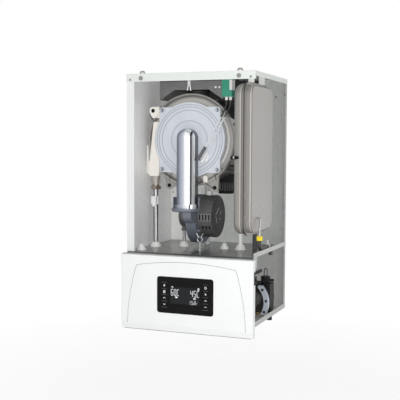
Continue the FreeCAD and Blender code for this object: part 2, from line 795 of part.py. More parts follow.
def shelf_plate():
    """Floor of the burner chamber, with a front fold and a raised right rim."""
    sheet = block((INNER_LEFT, RIGHT - SHEET), (FRONT + 2 * SHEET, -SHEET), (SHELF_UNDER, SHELF_HEIGHT))
    fold = block((INNER_LEFT, RIGHT - SHEET), (FRONT + 2 * SHEET, FRONT + 3 * SHEET),
                 (SHELF_HEIGHT - SHELF_FOLD, SHELF_HEIGHT))
    rim = block((RIGHT - SHEET, RIGHT), (FRONT + 2 * SHEET, 0),
                (SHELF_HEIGHT - SHELF_RIM_DROP, SHELF_HEIGHT + SHELF_RIM))
    notch = block((INNER_RIGHT - HOLE_GAP, RIGHT - SHEET + GRIP), (-BACK_FLANGE - HOLE_GAP, 0),
                  (SHELF_UNDER - GRIP, SHELF_HEIGHT + GRIP))
    tray = joined([sheet.cut(notch), fold, rim])
    holes = shelf_pipes()
    holes.append((DRUM_X, CONDENSATE_Y, CONDENSATE_RADIUS))
    holes.append((VESSEL_HOSE_X, VESSEL_HOSE_Y, VESSEL_HOSE_RADIUS))
    holes.append((SIDE_HOSE_X, SIDE_HOSE_BACK, SIDE_HOSE_RADIUS))
    holes += [(x, y, BLIND_TOP / 2) for x, y in BLIND_GROMMETS]
    cuts = [rod("Z", (x, y), radius + HOLE_GAP, SHELF_UNDER - GRIP, SHELF_HEIGHT + GRIP)
            for x, y, radius in holes]
    return tray.cut(cuts)


def corner_post(side):
    """Front corner angle below the shelf, with an arm that carries a panel hinge."""
    outer = side * INNER_RIGHT
    rise = (SHEET, SHELF_UNDER)
    front = FRONT + 3 * SHEET
    side_leg = block(sorted((outer, outer - side * SHEET)), (front, front + POST_LEG), rise)
    front_leg = block(sorted((outer, outer - side * POST_LEG)), (front, front + SHEET),
                      (SHEET, SHELF_HEIGHT - SHELF_FOLD))
    gusset = block(sorted((outer, outer - side * SHEET)), (front, front + POST_GUSSET),
                   (SHELF_UNDER - POST_GUSSET_HEIGHT, SHELF_UNDER))
    low = BOTTOM_RIM + FASCIA_GAP
    high = low + HINGE_ARM_HEIGHT
    corners = [(front + SHEET, low), (front + SHEET, high), (HINGE_Y - HINGE_EAR_RADIUS, high),
               (HINGE_Y - HINGE_EAR_RADIUS, HINGE_Z), (HINGE_Y + HINGE_EAR_RADIUS, HINGE_Z),
               (HINGE_Y + HINGE_EAR_RADIUS, low)]
    span = sorted((outer, outer - side * HINGE_EAR))
    arm = outline("X", corners, *span)
    ear = rod("X", (HINGE_Y, HINGE_Z), HINGE_EAR_RADIUS, *span)
    bore = rod("X", (HINGE_Y, HINGE_Z), HINGE_PIN_RADIUS + RUNNING_GAP, span[0] - GRIP, span[1] + GRIP)
    return joined([side_leg, front_leg, gusset, arm, ear]).cut(bore)


def corner_posts():
    """Both front corner angles."""
    return group([corner_post(-1), corner_post(1)])


def wall_strip():
    """Small white angle with two holes on the left side panel."""
    rise = (WALL_STRIP_Z, WALL_STRIP_Z + WALL_STRIP_HEIGHT)
    leg = block((INNER_LEFT, INNER_LEFT + SHEET), (WALL_STRIP_Y, WALL_STRIP_Y + WALL_STRIP_WIDTH), rise)
    fold = block((INNER_LEFT, INNER_LEFT + WALL_STRIP_DEPTH), (WALL_STRIP_Y, WALL_STRIP_Y + SHEET), rise)
    middle = WALL_STRIP_Y + WALL_STRIP_WIDTH / 2
    holes = [rod("X", (middle, z), STRIP_HOLE_RADIUS, INNER_LEFT - GRIP, INNER_LEFT + SHEET + GRIP)
             for z in (rise[0] + WALL_STRIP_WIDTH, rise[1] - WALL_STRIP_WIDTH)]
    return joined([leg, fold]).cut(holes)


def casing_screws():
    """Cover bolts on the roof and the screws of the front lip."""
    solids = []
    for side in (-1, 1):
        place = (side * COVER_BOLT_X, FRONT + COVER_BOLT_INSET)
        collar = rod("Z", place, COVER_BOLT_RADIUS, CASE_HEIGHT, CASE_HEIGHT + COVER_BOLT_HEIGHT / 2)
        neck = hexagon("Z", place, COVER_BOLT_FLATS, CASE_HEIGHT, CASE_HEIGHT + COVER_BOLT_HEIGHT)
        solids.append(joined([collar, neck]))
        for x, radius, drop in ((COVER_BOLT_X, LIP_SCREW_RADIUS, LIP_SCREW_DROP),
                                (CORNER_SCREW_X, CORNER_SCREW_RADIUS, CORNER_SCREW_DROP)):
            spot = (side * x, CASE_HEIGHT - drop)
            head = rod("Y", spot, radius, FRONT - LIP_SCREW_HEAD, FRONT)
            head = round_edges(head, LIP_SCREW_HEAD / 3, lambda p: p.y < FRONT - LIP_SCREW_HEAD + GRIP / 2)
            slot = block((spot[0] - radius, spot[0] + radius),
                         (FRONT - 2 * LIP_SCREW_HEAD, FRONT - LIP_SCREW_HEAD / 2),
                         (spot[1] - radius / 6, spot[1] + radius / 6))
            solids.append(head.cut(slot))
    return solids


def top_cover_clip():
    """Wire spring that hangs from the front lip, with two bulb ends."""
    y = FRONT + SHEET + CLIP_WIRE
    top = CASE_HEIGHT - TOP_LIP + CLIP_WIRE
    low = CASE_HEIGHT - TOP_LIP - TOP_CLIP_DROP
    legs = []
    for side in (-1, 1):
        foot = side * TOP_CLIP_SPREAD
        legs.append(bent_rod([(side * TOP_CLIP_SPREAD / 2, y, top + TOP_LIP / 2),
                              (side * TOP_CLIP_SPREAD / 2, y, low + TOP_CLIP_DROP / 2),
                              (foot, y, low)], CLIP_WIRE, TOP_CLIP_SPREAD))
        legs.append(Part.makeSphere(TOP_CLIP_BULB, vec(foot, y + TOP_CLIP_BULB - CLIP_WIRE, low)))
    bridge = rod("X", (y, top + TOP_LIP / 2), CLIP_WIRE, -TOP_CLIP_SPREAD, TOP_CLIP_SPREAD)
    return joined([bridge] + legs)


def shelf_cover_clip():
    """Wire ring on a stem with two flared tangs, standing on the shelf."""
    ring_z = SHELF_HEIGHT + SHELF_CLIP_STEM + SHELF_CLIP_RING
    ring = Part.makeTorus(SHELF_CLIP_RING, CLIP_WIRE, vec(SHELF_CLIP_X, SHELF_CLIP_Y, ring_z), vec(0, 1, 0))
    stem = rod("Z", (SHELF_CLIP_X, SHELF_CLIP_Y), CLIP_WIRE, SHELF_HEIGHT, ring_z - SHELF_CLIP_RING)
    foot = rod("Z", (SHELF_CLIP_X, SHELF_CLIP_Y), 3 * CLIP_WIRE, SHELF_HEIGHT, SHELF_HEIGHT + CLIP_WIRE)
    tangs = []
    for side in (-1, 1):
        way = leaning(side * CLIP_TANG_LEAN)
        root = vec(SHELF_CLIP_X, SHELF_CLIP_Y, ring_z) + way * SHELF_CLIP_RING
        tangs.append(Part.makeCylinder(CLIP_WIRE, SHELF_CLIP_TANG, root, way))
    return joined([ring, stem, foot] + tangs)


def shelf_grommets():
    """White rubber cones on the shelf, round the pipes and over two spare holes."""
    solids = []
    for x, y, radius in shelf_pipes():
        top = SHELF_HEIGHT + GROMMET_HEIGHT
        neck = max(GROMMET_TOP, radius + GROMMET_SKIRT)
        profile = [(SHELF_HEIGHT, radius + SEAT_GAP), (SHELF_HEIGHT, GROMMET_BASE),
                   (SHELF_HEIGHT + GROMMET_SKIRT, GROMMET_BASE), (top, neck), (top, radius + SEAT_GAP)]
        solids.append(turned("Z", (x, y), profile))
    for x, y in BLIND_GROMMETS:
        top = SHELF_HEIGHT + BLIND_HEIGHT
        profile = [(SHELF_HEIGHT, 0), (SHELF_HEIGHT, BLIND_BASE),
                   (SHELF_HEIGHT + GROMMET_SKIRT, BLIND_BASE), (top - GROMMET_SKIRT, BLIND_TOP),
                   (top, BLIND_TOP - GROMMET_SKIRT), (top, 0)]
        solids.append(turned("Z", (x, y), profile))
    return group(solids)


# Control panel

def fascia_block(inset):
    """Solid of the fascia's side profile, drawn in by a wall on every closed face."""
    rear = FASCIA_BACK + (GRIP if inset else 0.0)
    corners = [(rear, FASCIA_TOP - inset), (FASCIA_FACE + inset, FASCIA_TOP - inset),
               (FASCIA_FACE + inset, CREASE), (FASCIA_FACE + CHIN_SLOPE + inset, FASCIA_BOTTOM + inset),
               (rear, FASCIA_BOTTOM + inset)]
    half = FASCIA_WIDTH / 2 - inset
    return outline("X", corners, -half, half)


def arch_area(grow):
    """Front area under the arched line, grown by a margin."""
    foot = ARCH_FOOT + grow
    waist = ARCH_WAIST + grow
    shoulder = ARCH_SHOULDER + grow
    waist_z = (CREASE + ARCH_SHOULDER_Z) / 2
    at = lambda x, z: vec(x, 0, z)
    shoulder_z = ARCH_SHOULDER_Z + grow
    edges = [Part.Arc(at(-foot, CREASE), at(-waist, waist_z), at(-shoulder, shoulder_z)).toShape(),
             Part.Arc(at(-shoulder, shoulder_z), at(0, ARCH_CROWN_Z + grow),
                      at(shoulder, shoulder_z)).toShape(),
             Part.Arc(at(shoulder, shoulder_z), at(waist, waist_z), at(foot, CREASE)).toShape(),
             Part.LineSegment(at(foot, CREASE), at(-foot, CREASE)).toShape()]
    return prism("Y", edges, FASCIA_FACE - GRIP, FASCIA_FACE + ARCH_GROOVE_DEPTH)


def bezel_area(inset, low, high):
    """Rounded area of the display bezel, drawn in by a margin."""
    half = BEZEL_WIDTH / 2 - inset
    upright = (BEZEL_Z - BEZEL_HEIGHT / 2 + inset, BEZEL_Z + BEZEL_HEIGHT / 2 - inset)
    return tablet("Y", (-half, half), upright, BEZEL_CORNER - min(inset, BEZEL_LEDGE), low, high)


def control_fascia():
    """Moulded front cover of the lower compartment."""
    shell = round_edges(fascia_block(0.0), FASCIA_EDGE, lambda p: p.y < FASCIA_FACE + CHIN_SLOPE and
                        (p.z > FASCIA_TOP - GRIP or abs(p.x) > FASCIA_WIDTH / 2 - GRIP) and p.z > CREASE)
    shell = shell.cut(fascia_block(FASCIA_WALL))
    groove = arch_area(ARCH_GROOVE / 2).cut(arch_area(-ARCH_GROOVE / 2))
    pocket = bezel_area(-SEAT_GAP, FASCIA_FACE - GRIP, BEZEL_REAR)
    window = bezel_area(BEZEL_LEDGE, FASCIA_FACE - GRIP, FASCIA_INSIDE + GRIP)
    notch = block((FASCIA_WIDTH / 2 - FASCIA_WALL - GRIP, FASCIA_WIDTH / 2 + GRIP),
                  (FASCIA_BACK - LATCH_DEPTH, FASCIA_BACK + GRIP), (LATCH_BOTTOM, LATCH_TOP))
    shell = shell.cut([groove, pocket, window, notch])
    bosses = [rod("Y", place, BOX_BOSS_RADIUS, FASCIA_INSIDE, BOX_FRONT) for place in box_boss_places()]
    inner = FASCIA_WIDTH / 2 - FASCIA_WALL
    for side in (-1, 1):
        span = sorted((side * inner, side * (inner - HINGE_BOSS_LENGTH)))
        bosses.append(sleeve("X", (HINGE_Y, HINGE_Z), HINGE_BOSS_RADIUS, HINGE_PIN_RADIUS, *span))
    return joined([shell] + bosses)


def fascia_seal():
    """Dark rubber strip along the top of the fascia."""
    half = FASCIA_WIDTH / 2 - SEAL_INSET
    across = (FASCIA_FACE + SEAL_INSET + FASCIA_EDGE / 2, FASCIA_BACK - SEAL_INSET)
    return tablet("Z", (-half, half), across, SEAL_INSET, FASCIA_TOP, FASCIA_TOP + SEAL_HEIGHT)


def key_places():
    """Centre of each key, left column first, from the top down."""
    first = BEZEL_Z + KEY_PITCH * (KEY_ROWS - 1) / 2
    return [(side * KEY_X, first - KEY_PITCH * row) for side in (-1, 1) for row in range(KEY_ROWS)]


def key_area(place, grow, low, high):
    """Rounded area of one key, grown by a margin."""
    across = (place[0] - KEY_WIDTH / 2 - grow, place[0] + KEY_WIDTH / 2 + grow)
    upright = (place[1] - KEY_HEIGHT / 2 - grow, place[1] + KEY_HEIGHT / 2 + grow)
    return tablet("Y", across, upright, KEY_CORNER, low, high)


def screen_area(grow, low, high):
    """Rounded area of the screen, grown by a margin."""
    half = SCREEN_WIDTH / 2 + grow
    upright = (BEZEL_Z - SCREEN_HEIGHT / 2 - grow, BEZEL_Z + SCREEN_HEIGHT / 2 + grow)
    return tablet("Y", (-half, half), upright, SCREEN_CORNER, low, high)


def standoff_places():
    """Posts between the bezel and the display board."""
    x = BEZEL_WIDTH / 2 - BEZEL_LEDGE - STANDOFF_RADIUS - GRIP
    z = BEZEL_HEIGHT / 2 - BEZEL_LEDGE - STANDOFF_RADIUS - GRIP
    return [(a * x, BEZEL_Z + b * z) for a in (-1, 1) for b in (-1, 1)]


def display_bezel():
    """Black front plate with the screen window and key holes."""
    plate = bezel_area(0.0, BEZEL_FACE, BEZEL_REAR)
    plate = round_edges(plate, BEZEL_PROUD / 2, lambda p: p.y < BEZEL_FACE + BEZEL_PROUD / 4)
    cuts = [screen_area(SEAT_GAP, BEZEL_FACE - GRIP, BEZEL_REAR + GRIP)]
    cuts += [key_area(place, SEAT_GAP, BEZEL_FACE - GRIP, BEZEL_REAR + GRIP) for place in key_places()]
    posts = [rod("Y", place, STANDOFF_RADIUS, BEZEL_REAR, BOARD_FACE) for place in standoff_places()]
    return joined([plate.cut(cuts)] + posts)


def display_screen():
    """Screen module between the bezel window and the display board."""
    return screen_area(0.0, BEZEL_FACE + SCREEN_RECESS, BOARD_FACE)


def key(place):
    """Key cap with a retaining flange and a stem over the board."""
    cap = key_area(place, 0.0, BEZEL_FACE - KEY_PROUD, BEZEL_REAR + 2 * SEAT_GAP)
    flange_front = BEZEL_REAR + SEAT_GAP
    flange = key_area(place, KEY_FLANGE, flange_front, flange_front + KEY_FLANGE)
    stem = rod("Y", place, KEY_STEM_RADIUS, flange_front, BOARD_FACE - KEY_TRAVEL - SEAT_GAP)
    return joined([cap, flange, stem])


def display_board():
    """Circuit board behind the bezel."""
    half = BEZEL_WIDTH / 2 - BOARD_MARGIN
    upright = (BEZEL_Z - BEZEL_HEIGHT / 2 + BOARD_MARGIN, BEZEL_Z + BEZEL_HEIGHT / 2 - BOARD_MARGIN)
    return tablet("Y", (-half, half), upright, SCREEN_CORNER, BOARD_FACE, BOARD_FACE + BOARD_THICK)


def box_boss_places():
    """Screw places of the control box on the fascia."""
    x = BOX_WIDTH / 2 + BOX_FLANGE / 2
    return [(a * x, z) for a in (-1, 1) for z in (BOX_BOTTOM + BOX_FLANGE, BOX_TOP - BOX_FLANGE)]


def control_box():
    """Electronics housing behind the fascia, open to the front."""
    half = BOX_WIDTH / 2
    body = tablet("Y", (-half, half), (BOX_BOTTOM, BOX_TOP), BOX_CORNER, BOX_FRONT, BOX_REAR)
    flange = tablet("Y", (-half - BOX_FLANGE, half + BOX_FLANGE), (BOX_BOTTOM, BOX_TOP), BOX_CORNER,
                    BOX_FRONT, BOX_FRONT + BOX_WALL)
    hollow = tablet("Y", (-half + BOX_WALL, half - BOX_WALL), (BOX_BOTTOM + BOX_WALL, BOX_TOP - BOX_WALL),
                    BOX_CORNER - BOX_WALL, BOX_FRONT - GRIP, BOX_REAR - BOX_WALL)
    board_rear = BOX_REAR - BOX_WALL - MAIN_BOARD_LIFT
    feet = [rod("Y", (a * (half - 4 * BOX_WALL), z), BOX_WALL, board_rear, BOX_REAR)
            for a in (-1, 1) for z in (BOX_BOTTOM + 4 * BOX_WALL, BOX_TOP - 4 * BOX_WALL)]
    return joined([joined([body, flange]).cut(hollow)] + feet)


def main_board():
    """Control board with its relays and transformer, on feet in the control box."""
    half = BOX_WIDTH / 2 - 2 * BOX_WALL
    rear = BOX_REAR - BOX_WALL - MAIN_BOARD_LIFT
    face = rear - BOARD_THICK
    low = BOX_BOTTOM + 2 * BOX_WALL
    high = BOX_TOP - 2 * BOX_WALL
    board = block((-half, half), (face, rear), (low, high))
    relays = []
    for step in range(RELAY_COUNT):
        left = -half + RELAY_PITCH * (step + 1) - RELAY_WIDTH
        relays.append(block((left, left + RELAY_WIDTH), (face - RELAY_RISE, face),
                            (low + RELAY_INSET, low + RELAY_INSET + RELAY_HEIGHT)))
    core_top = high - RELAY_RISE
    core = block((half - CORE_INSET - CORE_WIDTH, half - CORE_INSET), (face - CORE_RISE, face),
                 (core_top - CORE_HEIGHT, core_top))
    return joined([board, core] + relays)


def hinge_pins():
    """Two pins on which the control panel swings down."""
    inner = FASCIA_WIDTH / 2 - FASCIA_WALL
    tip = INNER_RIGHT - HINGE_EAR - HINGE_PIN_RADIUS
    return group([rod("X", (HINGE_Y, HINGE_Z), HINGE_PIN_RADIUS, *sorted((side * inner, side * tip)))
                  for side in (-1, 1)])


def panel_latch():
    """Black latch in the right edge of the fascia, with a long and a short tongue."""
    outer = FASCIA_WIDTH / 2 - SEAT_GAP
    body = block((outer - FASCIA_WALL, outer), (FASCIA_BACK - LATCH_DEPTH, FASCIA_BACK),
                 (LATCH_BOTTOM, LATCH_TOP))
    across = (outer - LATCH_THICK, outer)
    long_tongue = block(across, (FASCIA_BACK, FRONT + LATCH_LONG), (LATCH_TOP - LATCH_ARM, LATCH_TOP))
    short_tongue = block(across, (FASCIA_BACK, FRONT + LATCH_SHORT),
                         (LATCH_BOTTOM, LATCH_BOTTOM + LATCH_ARM))
    return joined([body, long_tongue, short_tongue])


# Heat exchanger and burner

def exchanger_shell():
    """Steel drum closed at the back, with a flue outlet on top and a drain below."""
    centre = (DRUM_X, DRUM_Z)
    front = RING_FRONT + RING_WEB
    drum = rod("Y", centre, DRUM_RADIUS, front, DRUM_BACK)
    hollow = rod("Y", centre, DRUM_RADIUS - DRUM_WALL, front - GRIP, DRUM_BACK - DRUM_WALL)
    flue = rod("Z", (FLUE_X, FLUE_Y), FLUE_RADIUS, DRUM_Z + DRUM_RADIUS / 2, DRUM_Z + DRUM_RADIUS + GRIP)
    drain = rod("Z", (DRUM_X, CONDENSATE_Y), CONDENSATE_RADIUS - PIPE_WALL, DRUM_Z - DRUM_RADIUS - GRIP,
                DRUM_Z - DRUM_RADIUS / 2)
    feet = []
    for a, b in ((-1, -1), (1, -1), (1, 1), (-1, 1)):
        x = DRUM_X + a * DRUM_RADIUS / 2
        z = DRUM_Z + b * DRUM_RADIUS / 2
        feet.append(block((x - RING_LIP, x + RING_LIP), (DRUM_BACK, -SHEET), (z - RING_LIP, z + RING_LIP)))
    ribs = [sleeve("Y", centre, DRUM_RADIUS + DRUM_WALL, DRUM_RADIUS - DRUM_WALL, y, y + RING_LIP)
            for y in (DRUM_BACK - 3 * RING_LIP, DRUM_BACK - 6 * RING_LIP)]
    return joined([drum] + ribs + feet).cut([hollow, flue, drain])


def ring_point(angle, reach):
    """Point of the exchanger front at an angle in degrees from +X."""
    turn = math.radians(angle)
    return (DRUM_X + reach * math.cos(turn), DRUM_Z + reach * math.sin(turn))


def exchanger_ring():
    """Front ring of the drum, with a rolled lip, a door seat and mounting ears."""
    centre = (DRUM_X, DRUM_Z)
    back = RING_FRONT + RING_WEB
    step = RING_LIP / 3
    seat = DOOR_RADIUS - DOOR_EDGE - SEAT_WIDTH
    profile = [(back, RING_BORE), (RING_FRONT, RING_BORE), (RING_FRONT, seat + SEAT_WIDTH),
               (RING_FRONT + RING_WEB / 2, seat + SEAT_WIDTH + step),
               (RING_FRONT + RING_WEB / 2, RING_RADIUS - RING_LIP),
               (RING_FRONT - step, RING_RADIUS - RING_LIP + step), (RING_FRONT - step, RING_RADIUS - step),
               (RING_FRONT, RING_RADIUS), (RING_FRONT + RING_DEPTH, RING_RADIUS),
               (RING_FRONT + RING_DEPTH, DRUM_RADIUS + SEAT_GAP), (back, DRUM_RADIUS + SEAT_GAP)]
    ring = turned("Y", centre, profile)
    ears = []
    holes = []
    low = RING_FRONT - 1.5 * step
    for angle, reach in zip(EAR_ANGLES, EAR_REACH):
        tip = ring_point(angle, reach)
        roots = [ring_point(angle + a, RING_RADIUS - RING_LIP / 2)
                 for a in (-EAR_HALF_ANGLE, EAR_HALF_ANGLE)]
        sides = [(tip[0] + EAR_RADIUS * math.cos(math.radians(angle + a)),
                  tip[1] + EAR_RADIUS * math.sin(math.radians(angle + a)))
                 for a in (EAR_SIDE_ANGLE, -EAR_SIDE_ANGLE)]
        tab = outline("Y", [roots[0], roots[1]] + sides, low, low + EAR_THICK)
        ears.append(tab.fuse(rod("Y", tip, EAR_RADIUS, low, low + EAR_THICK)))
        holes.append(rod("Y", tip, EAR_HOLE, low - GRIP, low + EAR_THICK + GRIP))
    door_room = door_plan(SEAT_GAP, DOOR_FRONT - GRIP, RING_FRONT)
    return joined([ring] + ears).cut([door_room] + holes)


def exchanger_coil():
    """Water coil inside the drum, drawn as one thin ribbed sleeve with a crest for each turn."""
    front = RING_FRONT + RING_WEB
    back = DRUM_BACK - DRUM_WALL
    pitch = (back - front) / COIL_TURNS
    outside = []
    for turn in range(COIL_TURNS):
        start = front + turn * pitch
        outside += [(start, COIL_RADIUS - COIL_RIB), (start + pitch / 4, COIL_RADIUS),
                    (start + 3 * pitch / 4, COIL_RADIUS)]
    outside.append((back, COIL_RADIUS - COIL_RIB))
    inside = [(along, radius - COIL_WALL) for along, radius in reversed(outside)]
    return turned("Y", (DRUM_X, DRUM_Z), outside + inside)


def door_plan(grow, low, high):
    """Round door on a square with soft corners, grown by a margin."""
    disc = rod("Y", (DRUM_X, DRUM_Z), DOOR_RADIUS + grow, low, high)
    half = DOOR_SQUARE + grow
    square = tablet("Y", (DRUM_X - half, DRUM_X + half), (DRUM_Z - half, DRUM_Z + half),
                    DOOR_LUG_CORNER + grow, low, high)
    return joined([disc, square])


def burner_door():
    """Cast door plate with ring grooves, bolted over the burner opening."""
    door = door_plan(0.0, DOOR_FRONT, DOOR_BACK)
    cuts = [sleeve("Y", (DRUM_X, DRUM_Z), radius + GROOVE_WIDTH / 2, radius - GROOVE_WIDTH / 2,
                   DOOR_FRONT - GROOVE_DEPTH, DOOR_FRONT + GROOVE_DEPTH) for radius in DOOR_GROOVES]
    cuts.append(rod("Y", (DRUM_X, DRUM_Z), DOOR_PORT, DOOR_FRONT - GRIP, DOOR_BACK + GRIP))
    cuts += [rod("Y", place, STUD_RADIUS + HOLE_GAP, DOOR_FRONT - GRIP, DOOR_BACK + GRIP)
             for place in stud_places()]
    return door.cut(cuts)


def stud_places():
    """Stud of each door lug."""
    return [(DRUM_X + a * DOOR_LUG, DRUM_Z + b * DOOR_LUG) for a in (-1, 1) for b in (-1, 1)]


def door_nuts():
    """Studs and flange nuts of the burner door."""
    solids = []
    for place in stud_places():
        stud = rod("Y", place, STUD_RADIUS, DOOR_FRONT - NUT_HEIGHT - STUD_PROUD, RING_FRONT + RING_WEB / 2)
        nut = hexagon("Y", place, NUT_FLATS, DOOR_FRONT - NUT_HEIGHT, DOOR_FRONT)
        washer = rod("Y", place, NUT_FLATS / 2 + STUD_RADIUS / 2, DOOR_FRONT - NUT_HEIGHT / 4, DOOR_FRONT)
        solids.append(joined([stud, nut, washer]))
    return solids


def door_insulation():
    """Ceramic-fibre disc behind the door, round the burner."""
    return sleeve("Y", (DRUM_X, DRUM_Z), RING_BORE - PAD_CLEAR, BURNER_RADIUS + SEAT_GAP, DOOR_BACK,
                  DOOR_BACK + PAD_THICK)


def burner_tube():
    """Perforated burner cylinder on the back of the door."""
    centre = (DRUM_X, DRUM_Z)
    front = DOOR_BACK
    body = rod("Y", centre, BURNER_RADIUS, front, front + BURNER_LENGTH)
    hollow = rod("Y", centre, BURNER_RADIUS - BURNER_WALL, front - GRIP,
                 front + BURNER_LENGTH - BURNER_WALL)
    holes = []
    for row in range(BURNER_ROWS):
        root = vec(DRUM_X, front + PAD_THICK + BURNER_ROW_PITCH * (row + 1), DRUM_Z)
        for turn in range(BURNER_ROW_HOLES):
            way = leaning(360.0 * turn / BURNER_ROW_HOLES + QUARTER_TURN)
            holes.append(Part.makeCylinder(BURNER_HOLE, BURNER_RADIUS + GRIP, root, way))
    return body.cut(hollow).cut(holes)


def flow_manifold():
    """Cream header on the left of the drum, with a tapered outlet below."""
    corners = [(MANIFOLD_LEFT, MANIFOLD_BOTTOM), (MANIFOLD_RIGHT, MANIFOLD_BOTTOM),
               (MANIFOLD_RIGHT, MANIFOLD_TOP), (MANIFOLD_LEFT + MANIFOLD_TAPER, MANIFOLD_TOP),
               (MANIFOLD_LEFT, MANIFOLD_SHOULDER)]
    seat = RING_FRONT - RING_LIP / 2 - SEAT_GAP
    plate = soft_outline("Y", corners, MANIFOLD_CORNER, MANIFOLD_FRONT, seat)
    head = tablet("Y", (FLOW_PIPE_X - MANIFOLD_HALF, FLOW_PIPE_X + MANIFOLD_HALF),
                  (MANIFOLD_BOTTOM, MANIFOLD_HEAD), MANIFOLD_CORNER, seat - GRIP, MANIFOLD_BACK)
    drum_room = rod("Y", (DRUM_X, DRUM_Z), RING_RADIUS + SEAT_GAP, seat, MANIFOLD_BACK + GRIP)
    door_room = door_plan(2 * HOLE_GAP, MANIFOLD_FRONT - GRIP, RING_FRONT)
    nozzle = Part.makeCone(NOZZLE_BOTTOM_RADIUS, NOZZLE_TOP_RADIUS, NOZZLE_LENGTH,
                           vec(FLOW_PIPE_X, FLOW_PIPE_Y, UNION_TOP))
    bore = rod("Z", (FLOW_PIPE_X, FLOW_PIPE_Y), FLOW_PIPE_RADIUS - PIPE_WALL, UNION_TOP - GRIP,
               MANIFOLD_BOTTOM + NOZZLE_LENGTH)
    ears = [ear_room(angle, reach) for angle, reach in zip(EAR_ANGLES[:2], EAR_REACH[:2])]
    return joined([joined([plate, head]).cut([drum_room, door_room] + ears), nozzle]).cut(bore)


def ear_room(angle, reach):
    """Room round a mounting ear of the ring."""
    tip = ring_point(angle, reach)
    return rod("Y", tip, 2 * EAR_RADIUS, RING_FRONT - EAR_THICK, RING_FRONT + EAR_THICK)


def union_nut():
    """Brass union between the header outlet and the flow pipe."""
    centre = (FLOW_PIPE_X, FLOW_PIPE_Y)
    nut = hexagon("Z", centre, UNION_FLATS, UNION_BOTTOM, UNION_BOTTOM + 2 * UNION_HEIGHT / 3)
    collar = rod("Z", centre, NOZZLE_BOTTOM_RADIUS, UNION_BOTTOM, UNION_TOP)
    bore = rod("Z", centre, FLOW_PIPE_RADIUS, UNION_BOTTOM - GRIP, UNION_TOP + GRIP)
    return joined([nut, collar]).cut(bore)


def flow_pipe():
    """Steel flow pipe from the union down to the flow block."""
    return sleeve("Z", (FLOW_PIPE_X, FLOW_PIPE_Y), FLOW_PIPE_RADIUS, FLOW_PIPE_RADIUS - PIPE_WALL,
                  FLOW_BLOCK_TOP, UNION_TOP)


def flow_sensor():
    """White clip-on temperature sensor on the flow pipe."""
    centre = (FLOW_PIPE_X, FLOW_PIPE_Y)
    low = SENSOR_Z - SENSOR_LENGTH / 2
    high = SENSOR_Z + SENSOR_LENGTH / 2
    clip = sleeve("Z", centre, FLOW_PIPE_RADIUS + 2 * PIPE_WALL, FLOW_PIPE_RADIUS, low, high)
    mouth = block((FLOW_PIPE_X - FLOW_PIPE_RADIUS / 2, FLOW_PIPE_X + FLOW_PIPE_RADIUS / 2),
                  (FLOW_PIPE_Y, FLOW_PIPE_Y + 3 * FLOW_PIPE_RADIUS), (low - GRIP, high + GRIP))
    front = FLOW_PIPE_Y - FLOW_PIPE_RADIUS - PIPE_WALL
    body = tablet("Y", (FLOW_PIPE_X - FLOW_PIPE_RADIUS, FLOW_PIPE_X + FLOW_PIPE_RADIUS), (low, high),
                  PIPE_WALL, front - FLOW_PIPE_RADIUS, front)
    plug = block((FLOW_PIPE_X - FLOW_PIPE_RADIUS / 2, FLOW_PIPE_X + FLOW_PIPE_RADIUS / 2),
                 (front - FLOW_PIPE_RADIUS + PIPE_WALL, front), (low - SENSOR_LENGTH / 4, low))
    return joined([clip.cut(mouth), body, plug])


def return_pipe():
    """Pipe from the water group up to the return hose."""
    return sleeve("Z", (RETURN_PIPE_X, RETURN_PIPE_Y), RETURN_PIPE_RADIUS, RETURN_PIPE_RADIUS - PIPE_WALL,
                  PLATES_TOP + GROMMET_HEIGHT, RETURN_PIPE_TOP)


def return_hose():
    """Black hose elbow from the return pipe to the drum."""
    low = RETURN_PIPE_TOP - 2 * RETURN_HOSE_RADIUS
    top = RETURN_PIPE_TOP + 2 * RETURN_BEND
    reach = math.sqrt((DRUM_RADIUS - DRUM_WALL / 2) ** 2 - (top - DRUM_Z) ** 2)
    points = [(RETURN_PIPE_X, RETURN_PIPE_Y, low), (RETURN_PIPE_X, RETURN_PIPE_Y, top),
              (DRUM_X + reach - RETURN_HOSE_RADIUS, RETURN_PIPE_Y, top)]
    hose = bent_rod(points, RETURN_HOSE_RADIUS, RETURN_BEND)
    room = rod("Y", (DRUM_X, DRUM_Z), DRUM_RADIUS, RING_FRONT, DRUM_BACK)
    bore = rod("Z", (RETURN_PIPE_X, RETURN_PIPE_Y), RETURN_PIPE_RADIUS, low - GRIP, RETURN_PIPE_TOP)
    return hose.cut([room, bore])


def condensate_hose():
    """Drain hose from the drum through the shelf to the trap."""
    room = rod("Y", (DRUM_X, DRUM_Z), DRUM_RADIUS, RING_FRONT, DRUM_BACK)
    hose = sleeve("Z", (DRUM_X, CONDENSATE_Y), CONDENSATE_RADIUS, CONDENSATE_RADIUS - PIPE_WALL,
                  TRAP_TOP + TRAP_CAP, DRUM_Z - DRUM_RADIUS + CONDENSATE_RADIUS / 8)
    return hose.cut(room)


# Air and gas path

